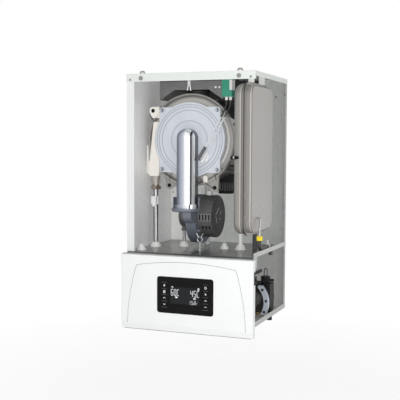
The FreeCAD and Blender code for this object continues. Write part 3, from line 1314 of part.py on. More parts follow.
def mix_duct():
    """Plated duct from the fan adapter up to the centre of the door."""
    half = DUCT_WIDTH / 2
    front = DUCT_BACK - DUCT_DEPTH
    spring = DUCT_CROWN - half
    at = lambda x, z: vec(DRUM_X + x, 0, z)
    edges = [Part.LineSegment(at(-half, ADAPTER_TOP), at(half, ADAPTER_TOP)).toShape(),
             Part.LineSegment(at(half, ADAPTER_TOP), at(half, spring)).toShape(),
             Part.Arc(at(half, spring), at(0, DUCT_CROWN), at(-half, spring)).toShape(),
             Part.LineSegment(at(-half, spring), at(-half, ADAPTER_TOP)).toShape()]
    body = prism("Y", edges, front, DUCT_BACK)
    body = round_edges(body, DUCT_EDGE, lambda p: p.y < front + GRIP and p.z > ADAPTER_TOP + GRIP)
    foot = tablet("Z", (DRUM_X - half - DUCT_FOOT_WIDEN, DRUM_X + half + DUCT_FOOT_WIDEN),
                  (front - DUCT_FOOT_WIDEN / 2, DUCT_BACK), DUCT_FOOT_CORNER, ADAPTER_TOP,
                  ADAPTER_TOP + DUCT_FOOT)
    inner = DUCT_WIDTH / 2 - DUCT_EDGE / 2
    hollow = block((DRUM_X - inner, DRUM_X + inner), (front + DUCT_EDGE / 2, DUCT_BACK - DUCT_WALL),
                   (ADAPTER_TOP - GRIP, spring))
    port = rod("Y", (DRUM_X, DRUM_Z), DOOR_PORT - HOLE_GAP, DUCT_BACK - DUCT_DEPTH / 2, DUCT_BACK + GRIP)
    seam = block((DRUM_X + DUCT_SEAM - DUCT_SEAM_WIDTH / 2, DRUM_X + DUCT_SEAM + DUCT_SEAM_WIDTH / 2),
                 (front - GRIP, front + DUCT_SEAM_REACH), (ADAPTER_TOP + DUCT_FOOT, spring))
    return joined([body, foot]).cut([hollow, port, seam])


def adapter_neck(inset):
    """Rounded throat from the adapter down to the fan outlet, drawn in by a wall."""
    low = ADAPTER_BOTTOM - NECK_DROP + inset
    front = DUCT_Y - NECK_REACH + inset
    throat = block((SCROLL_LEFT + inset, SCROLL_RIGHT - SEAT_GAP - inset), (front, SCROLL_Y),
                   (low, ADAPTER_TOP - inset))
    return round_edges(throat, NECK_ROUND - inset, lambda p: p.y < front + GRIP / 2 and p.z < low + GRIP / 2)


def fan_adapter():
    """Dark adapter under the duct, with a half collar behind it and a throat to the fan."""
    centre = (DRUM_X, DUCT_Y)
    disc = rod("Z", centre, ADAPTER_RADIUS, ADAPTER_BOTTOM, ADAPTER_TOP)
    disc = round_edges(disc, ADAPTER_EDGE, lambda p: p.z < ADAPTER_BOTTOM + GRIP)
    collar = sleeve("Z", centre, ADAPTER_RADIUS, ADAPTER_RADIUS - COLLAR_WALL, ADAPTER_TOP,
                    ADAPTER_TOP + COLLAR_RISE)
    front_half = block((DRUM_X - 2 * ADAPTER_RADIUS, DRUM_X + 2 * ADAPTER_RADIUS),
                       (DUCT_Y - 2 * ADAPTER_RADIUS, DUCT_Y), (ADAPTER_TOP, ADAPTER_TOP + 2 * COLLAR_RISE))
    half = DUCT_WIDTH / 2 - DUCT_EDGE / 2
    top_port = block((DRUM_X - half, SCROLL_RIGHT - 2 * SCROLL_WALL), (DUCT_Y - half / 2, DUCT_Y + half),
                     (ADAPTER_TOP - 2 * SCROLL_WALL, ADAPTER_TOP + GRIP))
    scroll_room = rod("X", (SCROLL_Y, SCROLL_Z), SCROLL_RADIUS, SCROLL_LEFT - GRIP, SCROLL_RIGHT + GRIP)
    outside = joined([disc, collar.cut(front_half), adapter_neck(0.0)])
    return outside.cut([adapter_neck(SCROLL_WALL), top_port, scroll_room])


def fan_scroll():
    """Fan housing seen edge-on and set off its shaft, with its outlet at the front."""
    shaft = (FAN_Y, FAN_Z)
    centre = (SCROLL_Y, SCROLL_Z)
    inner = (SCROLL_LEFT + SCROLL_WALL, SCROLL_RIGHT - SCROLL_WALL)
    body = rod("X", centre, SCROLL_RADIUS, SCROLL_LEFT, SCROLL_RIGHT)
    hollow = rod("X", centre, SCROLL_RADIUS - SCROLL_WALL, *inner)
    outlet = block((SCROLL_LEFT + 2 * SCROLL_WALL, SCROLL_RIGHT - 2 * SCROLL_WALL),
                   (SCROLL_Y - SCROLL_RADIUS - GRIP, SCROLL_Y),
                   (ADAPTER_BOTTOM - NECK_DROP + 2 * SCROLL_WALL, ADAPTER_BOTTOM - SCROLL_WALL))
    shaft_hole = rod("X", shaft, FAN_BEARING_RADIUS + HOLE_GAP, SCROLL_RIGHT - SCROLL_WALL - GRIP,
                     SCROLL_RIGHT + GRIP)
    eye = rod("X", shaft, MIXER_THROAT + SCROLL_WALL, SCROLL_LEFT - GRIP, SCROLL_LEFT + SCROLL_WALL + GRIP)
    lug_low = FAN_Z - SCROLL_LUG_DROP - SCROLL_LUG
    lug = rod("Z", (SCROLL_RIGHT + SCROLL_LUG_SIDE, FAN_Y - SCROLL_LUG_AHEAD), SCROLL_LUG_RADIUS, lug_low,
              lug_low + SCROLL_LUG)
    return joined([body, lug]).cut([hollow, outlet, shaft_hole, eye])


def fan_motor():
    """Dark motor can on the right of the fan, with slots round its end face."""
    centre = (FAN_Y, FAN_Z)
    can = rod("X", centre, MOTOR_RADIUS, SCROLL_RIGHT, MOTOR_RIGHT)
    can = round_edges(can, MOTOR_EDGE, lambda p: p.x > MOTOR_RIGHT - GRIP / 2)
    hollow = rod("X", centre, MOTOR_RADIUS - MOTOR_WALL, SCROLL_RIGHT + MOTOR_WALL,
                 MOTOR_RIGHT - MOTOR_WALL)
    slots = [rod("X", place, MOTOR_SLOT_RADIUS, MOTOR_RIGHT - MOTOR_WALL - GRIP, MOTOR_RIGHT + GRIP)
             for place in around(centre, MOTOR_SLOT_CIRCLE, MOTOR_SLOTS)]
    groove = MOTOR_SLOT_CIRCLE - 3 * MOTOR_SLOT_RADIUS
    step = sleeve("X", centre, groove, groove - MOTOR_SLOT_RADIUS, MOTOR_RIGHT - MOTOR_WALL / 3,
                  MOTOR_RIGHT + GRIP)
    bearings = [rod("X", centre, FAN_BEARING_RADIUS, SCROLL_RIGHT, SCROLL_RIGHT + FAN_BEARING_LENGTH),
                rod("X", centre, FAN_BEARING_RADIUS, MOTOR_RIGHT - FAN_BEARING_LENGTH,
                    MOTOR_RIGHT - MOTOR_WALL / 2)]
    bore = rod("X", centre, FAN_SHAFT_RADIUS + RUNNING_GAP, SCROLL_RIGHT - GRIP, MOTOR_RIGHT - MOTOR_WALL)
    return joined([can.cut([hollow, step] + slots)] + bearings).cut(bore)


def fan_impeller():
    """Fan wheel on its shaft, with the motor's rotor."""
    centre = (FAN_Y, FAN_Z)
    low = SCROLL_LEFT + SCROLL_WALL + IMPELLER_CLEAR
    high = SCROLL_RIGHT - SCROLL_WALL - IMPELLER_CLEAR
    plate = rod("X", centre, IMPELLER_RADIUS, high - IMPELLER_PLATE, high)
    rim = sleeve("X", centre, IMPELLER_RADIUS, MIXER_THROAT + SCROLL_WALL + IMPELLER_HUB, low,
                 low + IMPELLER_PLATE)
    hub = rod("X", centre, IMPELLER_HUB, low, high)
    blades = []
    for step in range(IMPELLER_BLADES):
        blade = block((low, high), (FAN_Y + IMPELLER_HUB / 2, FAN_Y + IMPELLER_RADIUS - GRIP),
                      (FAN_Z - IMPELLER_BLADE / 2, FAN_Z + IMPELLER_BLADE / 2))
        blade.rotate(on_axis("X", 0.0, *centre), direction("X"), 360.0 * step / IMPELLER_BLADES)
        blades.append(blade)
    shaft_end = MOTOR_RIGHT - MOTOR_WALL - IMPELLER_CLEAR / 2
    shaft = rod("X", centre, FAN_SHAFT_RADIUS, low, shaft_end)
    rotor_low = (SCROLL_RIGHT + MOTOR_RIGHT - ROTOR_LENGTH) / 2
    rotor = rod("X", centre, ROTOR_RADIUS, rotor_low, rotor_low + ROTOR_LENGTH)
    return joined([plate, rim, hub, shaft, rotor] + blades)


def gas_mixer():
    """Venturi on the left of the fan, with rounded ribs and a gas inlet below."""
    centre = (FAN_Y, FAN_Z)
    right = SCROLL_LEFT
    left = right - MIXER_LENGTH
    flange = rod("X", centre, MIXER_FLANGE_RADIUS, right - MIXER_FLANGE, right)
    barrel = rod("X", centre, MIXER_RADIUS, left, right - MIXER_FLANGE)
    pitch = (MIXER_LENGTH - MIXER_FLANGE) / MIXER_RIBS
    ribs = [Part.makeTorus(MIXER_RADIUS, pitch / 3, on_axis("X", left + pitch * step + pitch / 2, *centre),
                           direction("X")) for step in range(MIXER_RIBS)]
    low = FAN_Z - MIXER_RADIUS - GAS_BOSS_LENGTH
    boss = rod("Z", (GAS_PIPE_X, GAS_PIPE_Y), GAS_BOSS_RADIUS, low, FAN_Z)
    inlet = rod("Z", (GAS_PIPE_X, GAS_PIPE_Y), GAS_FLANGE_RADIUS, low, low + GAS_FLANGE)
    throat = turned("X", centre, [(left - GRIP, 0), (left - GRIP, MIXER_RADIUS - SCROLL_WALL),
                                  (left + MIXER_LENGTH / 2, MIXER_THROAT), (right + GRIP, MIXER_THROAT),
                                  (right + GRIP, 0)])
    bore = rod("Z", (GAS_PIPE_X, GAS_PIPE_Y), GAS_PIPE_RADIUS, low - GRIP,
               FAN_Z - MIXER_RADIUS + SCROLL_WALL)
    return joined([flange, barrel, boss, inlet] + ribs).cut([throat, bore])


def gas_pipe():
    """Thin gas pipe from the gas valve up to the mixer."""
    return sleeve("Z", (GAS_PIPE_X, GAS_PIPE_Y), GAS_PIPE_RADIUS, GAS_PIPE_RADIUS - PIPE_WALL,
                  GAS_VALVE_TOP, FAN_Z - MIXER_RADIUS + SCROLL_WALL)


def boot_places():
    """Lower end of each boot in front of the door."""
    across = leaning(BOOT_LEAN + QUARTER_TURN) * LEAD_GAP
    seat = DOOR_FRONT - ELECTRODE_THICK - BOOT_RADIUS
    return [vec(BOOT_X, seat - standoff, BOOT_Z) + across * index
            for index, standoff in enumerate(BOOT_STANDOFFS)]


def ignition_electrode():
    """Electrode flange on the door, with a grey and a white boot on posts."""
    half = ELECTRODE_FLANGE / 2
    solids = [tablet("Y", (ELECTRODE_X - half, ELECTRODE_X + half), (ELECTRODE_Z - half, ELECTRODE_Z + half),
                     EAR_HOLE, DOOR_FRONT - ELECTRODE_THICK, DOOR_FRONT)]
    for place, length in zip(boot_places(), BOOT_LENGTHS):
        solids.append(Part.makeCylinder(BOOT_RADIUS, length, place, leaning(BOOT_LEAN)))
        solids.append(rod("Y", (place.x, place.z), BOOT_RADIUS, place.y, DOOR_FRONT))
    reach = half - EAR_HOLE
    heads = [rod("Y", (ELECTRODE_X + reach, ELECTRODE_Z + a * reach), ELECTRODE_SCREW,
                 DOOR_FRONT - ELECTRODE_THICK - PIPE_WALL, DOOR_FRONT) for a in (-1, 1)]
    return joined(solids + heads)


def terminal_places():
    """Centre of each lead socket under the transformer."""
    middle = TRANSFORMER_FRONT + TRANSFORMER_DEPTH / 2
    return [(HOOD_RIGHT + TERMINAL_INSET + TERMINAL_PITCH * index, middle) for index in range(2)]


def ignition_leads():
    """Two white leads from the boots to the transformer, with the bends that their room allows."""
    solids = []
    for index, place in enumerate(boot_places()):
        end_x, end_y = terminal_places()[index]
        end = vec(end_x, end_y, TRANSFORMER_BOTTOM - TERMINAL_LENGTH)
        start = place + leaning(BOOT_LEAN) * (BOOT_LENGTHS[index] + SEAT_GAP)
        shoulder = vec(LEAD_SHOULDERS[index][0], LEAD_SHOULDER_Y, LEAD_SHOULDERS[index][1])
        turn = vec(end_x, end_y, end.z - LEAD_RISE)
        bends = [LEAD_SHOULDER_BEND, LEAD_TURN_BEND]
        path = bent_path([start, shoulder, turn, end], bends)
        lead = swept(path, LEAD_RADIUS)
        section = math.pi * LEAD_RADIUS ** 2
        print("lead", index, "length", round(path.Length, 1), "bends", bends,
              "volume ratio", round(lead.Volume / (section * path.Length), 4))
        solids.append(lead)
    return group(solids)


def transformer_case():
    """Green ignition transformer on the right end of the hood."""
    left = HOOD_RIGHT
    rear = TRANSFORMER_FRONT + TRANSFORMER_DEPTH
    body = tablet("Z", (left, left + TRANSFORMER_WIDTH), (TRANSFORMER_FRONT, rear), CASE_EDGE,
                  TRANSFORMER_BOTTOM, TRANSFORMER_TOP)
    waist = TRANSFORMER_BOTTOM + TRANSFORMER_WAIST
    slot = block((left + CASE_EDGE, left + TRANSFORMER_WIDTH + GRIP), (TRANSFORMER_FRONT - GRIP,
                 TRANSFORMER_FRONT + CASE_EDGE), (waist, waist + CASE_EDGE))
    return body.cut(slot)


def transformer_terminals():
    """White sockets under the transformer that take the leads."""
    low = TRANSFORMER_BOTTOM - TERMINAL_LENGTH
    return [rod("Z", place, TERMINAL_RADIUS, low, TRANSFORMER_BOTTOM) for place in terminal_places()]


def flue_hood():
    """Folded grey hood that joins the drum to the flue socket and hangs from the roof."""
    corners = [(HOOD_LEFT, HOOD_BOTTOM), (HOOD_ARCH_LEFT, HOOD_ARCH), (HOOD_ARCH_RIGHT, HOOD_ARCH),
               (HOOD_RIGHT, HOOD_BOTTOM), (HOOD_RIGHT, ROOF), (HOOD_LEFT, ROOF)]
    low = HOOD_BOTTOM + HOOD_SLOPE_WALL
    inner = [(HOOD_LEFT + SHEET, low), (HOOD_ARCH_LEFT, HOOD_ARCH + SHEET),
             (HOOD_ARCH_RIGHT, HOOD_ARCH + SHEET), (HOOD_RIGHT - SHEET, low),
             (HOOD_RIGHT - SHEET, ROOF + GRIP), (HOOD_LEFT + SHEET, ROOF + GRIP)]
    shell = outline("Y", corners, HOOD_FRONT, HOOD_BACK)
    shell = shell.cut(outline("Y", inner, HOOD_FRONT + SHEET, HOOD_BACK - SHEET))
    neck = rod("Z", (FLUE_X, FLUE_Y), FLUE_NECK_RADIUS, DRUM_Z + DRUM_RADIUS / 2, HOOD_ARCH)
    neck_bore = rod("Z", (FLUE_X, FLUE_Y), FLUE_RADIUS - FLUE_WALL, DRUM_Z + DRUM_RADIUS / 2 - GRIP,
                    HOOD_ARCH + 2 * SHEET)
    drum_room = rod("Y", (DRUM_X, DRUM_Z), DRUM_RADIUS, RING_FRONT, DRUM_BACK)
    return joined([shell, neck.cut(drum_room)]).cut(neck_bore)


def flue_socket():
    """Flue socket with a flange on the roof."""
    centre = (FLUE_X, FLUE_Y)
    flange = rod("Z", centre, FLUE_FLANGE_RADIUS, CASE_HEIGHT, CASE_HEIGHT + FLUE_FLANGE)
    low = HOOD_ARCH + SHEET
    tube = rod("Z", centre, FLUE_RADIUS + FLUE_WALL, low, CASE_HEIGHT + FLUE_LIP)
    bore = rod("Z", centre, FLUE_RADIUS, low - GRIP, CASE_HEIGHT + FLUE_LIP + GRIP)
    circle = (FLUE_FLANGE_RADIUS - FLUE_LIP + FLUE_RADIUS) / 2
    air_ports = [rod("Z", place, FLUE_LIP / 2, CASE_HEIGHT - GRIP, CASE_HEIGHT + FLUE_FLANGE + GRIP)
                 for place in around(centre, circle, AIR_PORTS)]
    return joined([flange, tube]).cut([bore] + air_ports)


# Expansion vessel

def vessel_plan(inset, low, high):
    """Rounded outline of the vessel, drawn in by a margin, as a slab across X."""
    depth = (VESSEL_FRONT + inset, VESSEL_BACK - inset)
    rise = (VESSEL_BOTTOM + inset, VESSEL_TOP - inset)
    return tablet("X", depth, rise, VESSEL_CORNER - inset, low, high)


def vessel_left_shell():
    """Deeper pressed half of the vessel, with its flat rim."""
    face = VESSEL_LEFT
    body = vessel_plan(VESSEL_RIM, face, RIM_LEFT + VESSEL_RIM_THICK)
    body = round_edges(body, VESSEL_ROUND, lambda p: p.x < face + GRIP / 2)
    core = vessel_plan(VESSEL_RIM + VESSEL_WALL, face + VESSEL_WALL, RIM_LEFT + VESSEL_RIM_THICK + GRIP)
    core = round_edges(core, VESSEL_ROUND - VESSEL_WALL, lambda p: p.x < face + VESSEL_WALL + GRIP / 2)
    rim = vessel_plan(0.0, RIM_LEFT, RIM_LEFT + VESSEL_RIM_THICK)
    port = rod("Z", (VESSEL_HOSE_X, VESSEL_HOSE_Y), VESSEL_HOSE_RADIUS - 2 * PIPE_WALL,
               VESSEL_BOTTOM - GRIP, VESSEL_BOTTOM + VESSEL_ROUND)
    stem = rod("X", (VALVE_Y, VALVE_Z), VALVE_RADIUS / 2, face - GRIP, face + VESSEL_WALL + GRIP)
    return joined([body, rim]).cut([core, port, stem])


def vessel_diaphragm():
    """Rubber membrane clamped between the two rims."""
    start = RIM_LEFT + VESSEL_RIM_THICK
    return vessel_plan(0.0, start, start + DIAPHRAGM_THICK)


def vessel_right_shell():
    """Shallower pressed half of the vessel, with its flat rim and a raised panel."""
    start = RIM_RIGHT - VESSEL_RIM_THICK
    face = VESSEL_RIGHT
    body = vessel_plan(VESSEL_RIM + VESSEL_RIGHT_STEP, start, face)
    body = round_edges(body, VESSEL_RIGHT_ROUND, lambda p: p.x > face - GRIP / 2)
    core = vessel_plan(VESSEL_RIM + VESSEL_RIGHT_STEP + VESSEL_WALL, start - GRIP, face - VESSEL_WALL)
    core = round_edges(core, VESSEL_RIGHT_ROUND - VESSEL_WALL,
                       lambda p: p.x > face - VESSEL_WALL - GRIP / 2)
    rim = vessel_plan(0.0, start, RIM_RIGHT)
    feed = rod("X", (FEED_TUBE_Y, FEED_TUBE_TOP), FEED_TUBE_RADIUS - PIPE_WALL,
               face - VESSEL_WALL - GRIP, face + GRIP)
    return joined([body, rim]).cut([core, feed])


def vessel_hangers():
    """Two white plates that hang the vessel from the roof by its rim."""
    middle = (RIM_LEFT + RIM_RIGHT) / 2
    half = VESSEL_HANGER_WIDTH / 2
    solids = []
    for y in (VESSEL_FRONT + VESSEL_HANGER_INSET, VESSEL_BACK - VESSEL_HANGER_INSET):
        plate = block((middle - half, middle + half), (y, y + VESSEL_HANGER_THICK), (VESSEL_TOP, ROOF))
        foot = block((middle - half, middle + half), (y, y + VESSEL_HANGER_WIDTH),
                     (ROOF - VESSEL_HANGER_THICK, ROOF))
        solids.append(joined([plate, foot]))
    return solids


def charge_valve():
    """Air valve on the left face of the vessel."""
    centre = (VALVE_Y, VALVE_Z)
    face = VESSEL_LEFT
    stem = rod("X", centre, VALVE_STEM_RADIUS, face - VALVE_LENGTH, face)
    nut = hexagon("X", centre, 2 * VALVE_RADIUS, face - VALVE_NUT, face)
    cap = rod("X", centre, VALVE_RADIUS, face - VALVE_LENGTH, face - VALVE_LENGTH + VALVE_CAP)
    return joined([stem, nut, cap])


def vessel_hose():
    """Black hose from the vessel down through the shelf to the pump group."""
    low = PUMP_Z + VOLUTE_RADIUS + TOWER_RADIUS
    return sleeve("Z", (VESSEL_HOSE_X, VESSEL_HOSE_Y), VESSEL_HOSE_RADIUS,
                  VESSEL_HOSE_RADIUS - 2 * PIPE_WALL, low, VESSEL_BOTTOM + VESSEL_RIM)


def side_hose():
    """Black hose along the right rim of the shelf, turned up at its front end."""
    points = [(SIDE_HOSE_X, SIDE_HOSE_FRONT, FERRULE_Z), (SIDE_HOSE_X, SIDE_HOSE_FRONT, SIDE_HOSE_Z),
              (SIDE_HOSE_X, SIDE_HOSE_BACK, SIDE_HOSE_Z),
              (SIDE_HOSE_X, SIDE_HOSE_BACK, SHELF_UNDER - GROMMET_HEIGHT)]
    return bent_tube(points, SIDE_HOSE_RADIUS, 2 * PIPE_WALL, SIDE_HOSE_BEND)


def hose_ferrule():
    """Yellow ferrule on the turned-up end of the side hose."""
    centre = (SIDE_HOSE_X, SIDE_HOSE_FRONT)
    collar = hexagon("Z", centre, 2 * FERRULE_RADIUS, FERRULE_Z, FERRULE_Z + FERRULE_HEIGHT)
    bore = rod("Z", centre, FEED_TUBE_RADIUS, FERRULE_Z - GRIP, FERRULE_Z + FERRULE_HEIGHT + GRIP)
    return collar.cut(bore)


def feed_tube():
    """Silver tube from the ferrule up to the vessel's right face."""
    collar_top = FERRULE_Z + FERRULE_HEIGHT + FEED_TUBE_STRAIGHT
    points = [(SIDE_HOSE_X, SIDE_HOSE_FRONT, FERRULE_Z), (SIDE_HOSE_X, SIDE_HOSE_FRONT, collar_top),
              (SIDE_HOSE_X - FEED_TUBE_LEAN, FEED_TUBE_Y, FEED_TUBE_TOP),
              (VESSEL_RIGHT, FEED_TUBE_Y, FEED_TUBE_TOP)]
    return bent_tube(points, FEED_TUBE_RADIUS, PIPE_WALL, FEED_TUBE_BEND)


def hose_clamp():
    """White wire clamp at the rear end of the side hose."""
    y = SIDE_HOSE_BACK - CLAMP_INSET
    ring_radius = SIDE_HOSE_RADIUS + CLAMP_WIRE
    ring = Part.makeTorus(ring_radius, CLAMP_WIRE, vec(SIDE_HOSE_X, y, SIDE_HOSE_Z), vec(0, 1, 0))
    root = vec(SIDE_HOSE_X, y, SIDE_HOSE_Z + ring_radius)
    tangs = [Part.makeCylinder(CLAMP_WIRE, 2 * SIDE_HOSE_RADIUS, root, vec(0, lean, 1))
             for lean in (-CLAMP_LEAN, CLAMP_LEAN)]
    return joined([ring] + tangs)


# Pump, water group and connections

def stub(place, radius, top):
    """Connection whose shoulder seats under the floor tray, with a slimmer neck inside the casing."""
    neck = radius - STUB_STEP
    outside = joined([rod("Z", place, radius, -STUB_DROP, 0), rod("Z", place, neck, -STUB_DROP, top)])
    return outside.cut(rod("Z", place, neck - STUB_WALL, -STUB_DROP - GRIP, top + GRIP))


def connection_stubs():
    """Flow, gas, hot water, cold water and return connections."""
    water_top = WATER_PORT_Z - 2 * WATER_BEND
    tops = [FLOW_BLOCK_BOTTOM, GAS_VALVE_BOTTOM, water_top, water_top, PUMP_Z - VOLUTE_RADIUS]
    return [stub((x, STUB_Y), radius, top) for (x, radius), top in zip(stub_places(), tops)]


def pump_volute():
    """Black volute with its vent tower and return socket."""
    centre = (PUMP_X, PUMP_Z)
    crown = PUMP_Z + VOLUTE_RADIUS
    body = rod("Y", centre, VOLUTE_RADIUS, VOLUTE_FRONT, VOLUTE_BACK)
    wall = block((PUMP_X + PUMP_WALL_LEFT, PUMP_X + PUMP_WALL_RIGHT), (VOLUTE_FRONT, VOLUTE_BACK),
                 (PUMP_WALL_BOTTOM, TOWER_TOP))
    wall = round_edges(wall, VOLUTE_WALL, lambda p: p.x > PUMP_X + PUMP_WALL_RIGHT - GRIP / 2)
    hose_place = (VESSEL_HOSE_X, VESSEL_HOSE_Y)
    spigot = rod("Z", hose_place, VESSEL_HOSE_RADIUS, crown, crown + TOWER_RADIUS)
    bridge = block((VESSEL_HOSE_X - VESSEL_HOSE_RADIUS, VESSEL_HOSE_X + VESSEL_HOSE_RADIUS),
                   (VESSEL_HOSE_Y - VESSEL_HOSE_RADIUS, STUB_Y),
                   (crown - VOLUTE_WALL / 2, crown + VOLUTE_WALL))
    socket = rod("Z", (STUB_PITCH * 2, STUB_Y), HEATING_STUB_RADIUS + VOLUTE_WALL, PUMP_Z - VOLUTE_RADIUS,
                 PUMP_Z)
    drain_top = SHEET + 2 * DRAIN_DROP
    drain_arm = block((DRAIN_X - DRAIN_RADIUS, DRAIN_X + DRAIN_RADIUS), (DRAIN_Y - DRAIN_RADIUS, STUB_Y),
                      (SHEET + DRAIN_DROP, drain_top))
    hollow = rod("Y", centre, VOLUTE_RADIUS - VOLUTE_WALL, VOLUTE_FRONT - GRIP, VOLUTE_BACK - VOLUTE_WALL)
    plate_room = rod("Y", centre, PUMP_PLATE_RADIUS + HOLE_GAP, PUMP_MOTOR_FRONT, VOLUTE_FRONT)
    drain_bore = rod("Z", (DRAIN_X, DRAIN_Y), DRAIN_STEM + RUNNING_GAP, -DRAIN_DROP, drain_top - PIPE_WALL)
    outside = joined([body, wall, socket, bridge, spigot, drain_arm]).cut(plate_room)
    return outside.cut([hollow, drain_bore])


def pump_flange():
    """Light-grey curved casting on the motor plate, with its screws' recesses."""
    centre = (PUMP_X - PUMP_FLANGE_SIDE, PUMP_Z - PUMP_FLANGE_DROP)
    front = PUMP_MOTOR_BACK - PUMP_FLANGE
    ring = sleeve("Y", centre, PUMP_FLANGE_RADIUS, PUMP_FLANGE_RADIUS - PUMP_FLANGE_WIDTH, front,
                  PUMP_MOTOR_BACK)
    band = ring.common(block((PUMP_X + PUMP_FLANGE_LEFT, RIGHT), (front - GRIP, PUMP_MOTOR_BACK + GRIP),
                             (PUMP_FLANGE_LOW, PUMP_FLANGE_HIGH)))
    circle = PUMP_FLANGE_RADIUS - PUMP_FLANGE_WIDTH / 2
    turns = [math.radians(angle) for angle in PUMP_SCREW_ANGLES]
    recesses = [rod("Y", (centre[0] + circle * math.cos(turn), centre[1] + circle * math.sin(turn)),
                    PUMP_SCREW_RADIUS, front - GRIP, front + PUMP_FLANGE / 2) for turn in turns]
    return band.cut(recesses)


def pump_motor():
    """Dark pump motor can with a terminal box, on the plate that closes the volute."""
    centre = (PUMP_X, PUMP_Z)
    can = rod("Y", centre, PUMP_MOTOR_RADIUS, PUMP_MOTOR_FRONT, PUMP_MOTOR_BACK)
    can = round_edges(can, PUMP_MOTOR_EDGE, lambda p: p.y < PUMP_MOTOR_FRONT + GRIP / 2)
    hollow = rod("Y", centre, PUMP_MOTOR_RADIUS - PUMP_MOTOR_WALL, PUMP_MOTOR_FRONT + PUMP_MOTOR_WALL,
                 PUMP_MOTOR_BACK + GRIP)
    boss = rod("Y", centre, 2 * PUMP_SHAFT_RADIUS, PUMP_MOTOR_FRONT + PUMP_MOTOR_WALL / 2,
               PUMP_MOTOR_FRONT + 4 * PUMP_MOTOR_WALL)
    terminal = block((PUMP_X - PUMP_MOTOR_RADIUS, PUMP_X),
                     (PUMP_MOTOR_FRONT + PUMP_MOTOR_EDGE, PUMP_MOTOR_BACK - PUMP_MOTOR_EDGE),
                     (PUMP_Z, PUMP_Z + PUMP_MOTOR_RADIUS + PUMP_MOTOR_WALL))
    plate = rod("Y", centre, PUMP_PLATE_RADIUS, PUMP_MOTOR_BACK, VOLUTE_FRONT)
    shaft_hole = rod("Y", centre, PUMP_SHAFT_RADIUS + RUNNING_GAP, PUMP_MOTOR_FRONT + PUMP_MOTOR_WALL,
                     VOLUTE_FRONT + GRIP)
    return joined([joined([can, terminal]).cut(hollow), boss, plate]).cut(shaft_hole)


def pump_impeller():
    """Pump wheel, shaft and rotor."""
    centre = (PUMP_X, PUMP_Z)
    front = VOLUTE_FRONT + PUMP_CLEAR
    rear = VOLUTE_BACK - VOLUTE_WALL - PUMP_CLEAR
    shaft = rod("Y", centre, PUMP_SHAFT_RADIUS, PUMP_MOTOR_FRONT + PUMP_MOTOR_WALL + PUMP_CLEAR / 2, rear)
    plate = rod("Y", centre, PUMP_WHEEL_RADIUS, front, front + PUMP_CLEAR)
    blades = []
    for step in range(PUMP_WHEEL_BLADES):
        blade = block((PUMP_X, PUMP_X + PUMP_WHEEL_RADIUS - GRIP), (front, (front + rear) / 2),
                      (PUMP_Z - IMPELLER_BLADE / 2, PUMP_Z + IMPELLER_BLADE / 2))
        blade.rotate(on_axis("Y", 0.0, *centre), direction("Y"), 360.0 * step / PUMP_WHEEL_BLADES)
        blades.append(blade)
    rotor = rod("Y", centre, PUMP_ROTOR_RADIUS, PUMP_MOTOR_FRONT + 5 * PUMP_MOTOR_WALL,
                PUMP_MOTOR_BACK - PUMP_CLEAR)
    return joined([shaft, plate, rotor] + blades)


def air_vent():
    """Vent cap on the pump tower, with a wire loop."""
    centre = (TOWER_X, STUB_Y)
    cap = rod("Z", centre, VENT_RADIUS, TOWER_TOP, TOWER_TOP + VENT_HEIGHT)
    cap = round_edges(cap, VENT_RADIUS / 5, lambda p: p.z > TOWER_TOP + VENT_HEIGHT - GRIP / 2)
    grips = [rod("Z", place, VENT_RADIUS / 8, TOWER_TOP - GRIP, TOWER_TOP + VENT_GRIP_HEIGHT)
             for place in around(centre, VENT_RADIUS, VENT_GRIPS)]
    top = TOWER_TOP + VENT_HEIGHT
    root = top - VENT_HEIGHT / 4
    left = TOWER_X - VENT_LOOP / 2
    right = TOWER_X + VENT_LOOP / 2
    loop = bent_rod([(left, STUB_Y, root), (left, STUB_Y, top + VENT_LOOP_RISE),
                     (right, STUB_Y, top + VENT_LOOP_RISE), (right, STUB_Y, root)], CLIP_WIRE, VENT_LOOP / 3)
    arm = rod("X", (STUB_Y + VENT_ARM_SIDE, TOWER_TOP + VENT_ARM_RISE), VENT_ARM_RADIUS, TOWER_X,
              TOWER_X + VENT_ARM_LENGTH)
    return joined([cap.cut(grips), loop, arm])


def drain_knob():
    """Drain cock knob under the floor tray, on its stem."""
    centre = (DRAIN_X, DRAIN_Y)
    top = -SEAT_GAP
    head = rod("Z", centre, DRAIN_RADIUS, top - DRAIN_DROP, top)
    grips = [rod("Z", place, DRAIN_RADIUS / 6, top - DRAIN_DROP - GRIP, top - DRAIN_DROP / 4)
             for place in around(centre, DRAIN_RADIUS, DRAIN_GRIPS)]
    stem = rod("Z", centre, DRAIN_STEM, top - DRAIN_DROP / 2, SHEET + 2 * DRAIN_DROP - 2 * PIPE_WALL)
    return joined([head.cut(grips), stem])


def flow_block():
    """Block that takes the flow pipe to its connection."""
    return tablet("Y", (FLOW_BLOCK_LEFT, FLOW_BLOCK_RIGHT), (FLOW_BLOCK_BOTTOM, FLOW_BLOCK_TOP), BLOCK_EDGE,
                  FLOW_BLOCK_FRONT, FLOW_BLOCK_BACK)


def diverter_motor():
    """Motor of the diverter valve on the front of the flow block."""
    centre = ((FLOW_BLOCK_LEFT + FLOW_BLOCK_RIGHT) / 2, (FLOW_BLOCK_BOTTOM + FLOW_BLOCK_TOP) / 2)
    front = FLOW_BLOCK_FRONT - DIVERTER_LENGTH
    neck = rod("Y", centre, DIVERTER_NECK_RADIUS, front + DIVERTER_LENGTH / 2, FLOW_BLOCK_FRONT)
    can = rod("Y", centre, DIVERTER_RADIUS, front, FLOW_BLOCK_FRONT - DIVERTER_LENGTH / 3)
    can = round_edges(can, BLOCK_EDGE / 2, lambda p: p.y < front + GRIP / 2)
    return joined([neck, can])


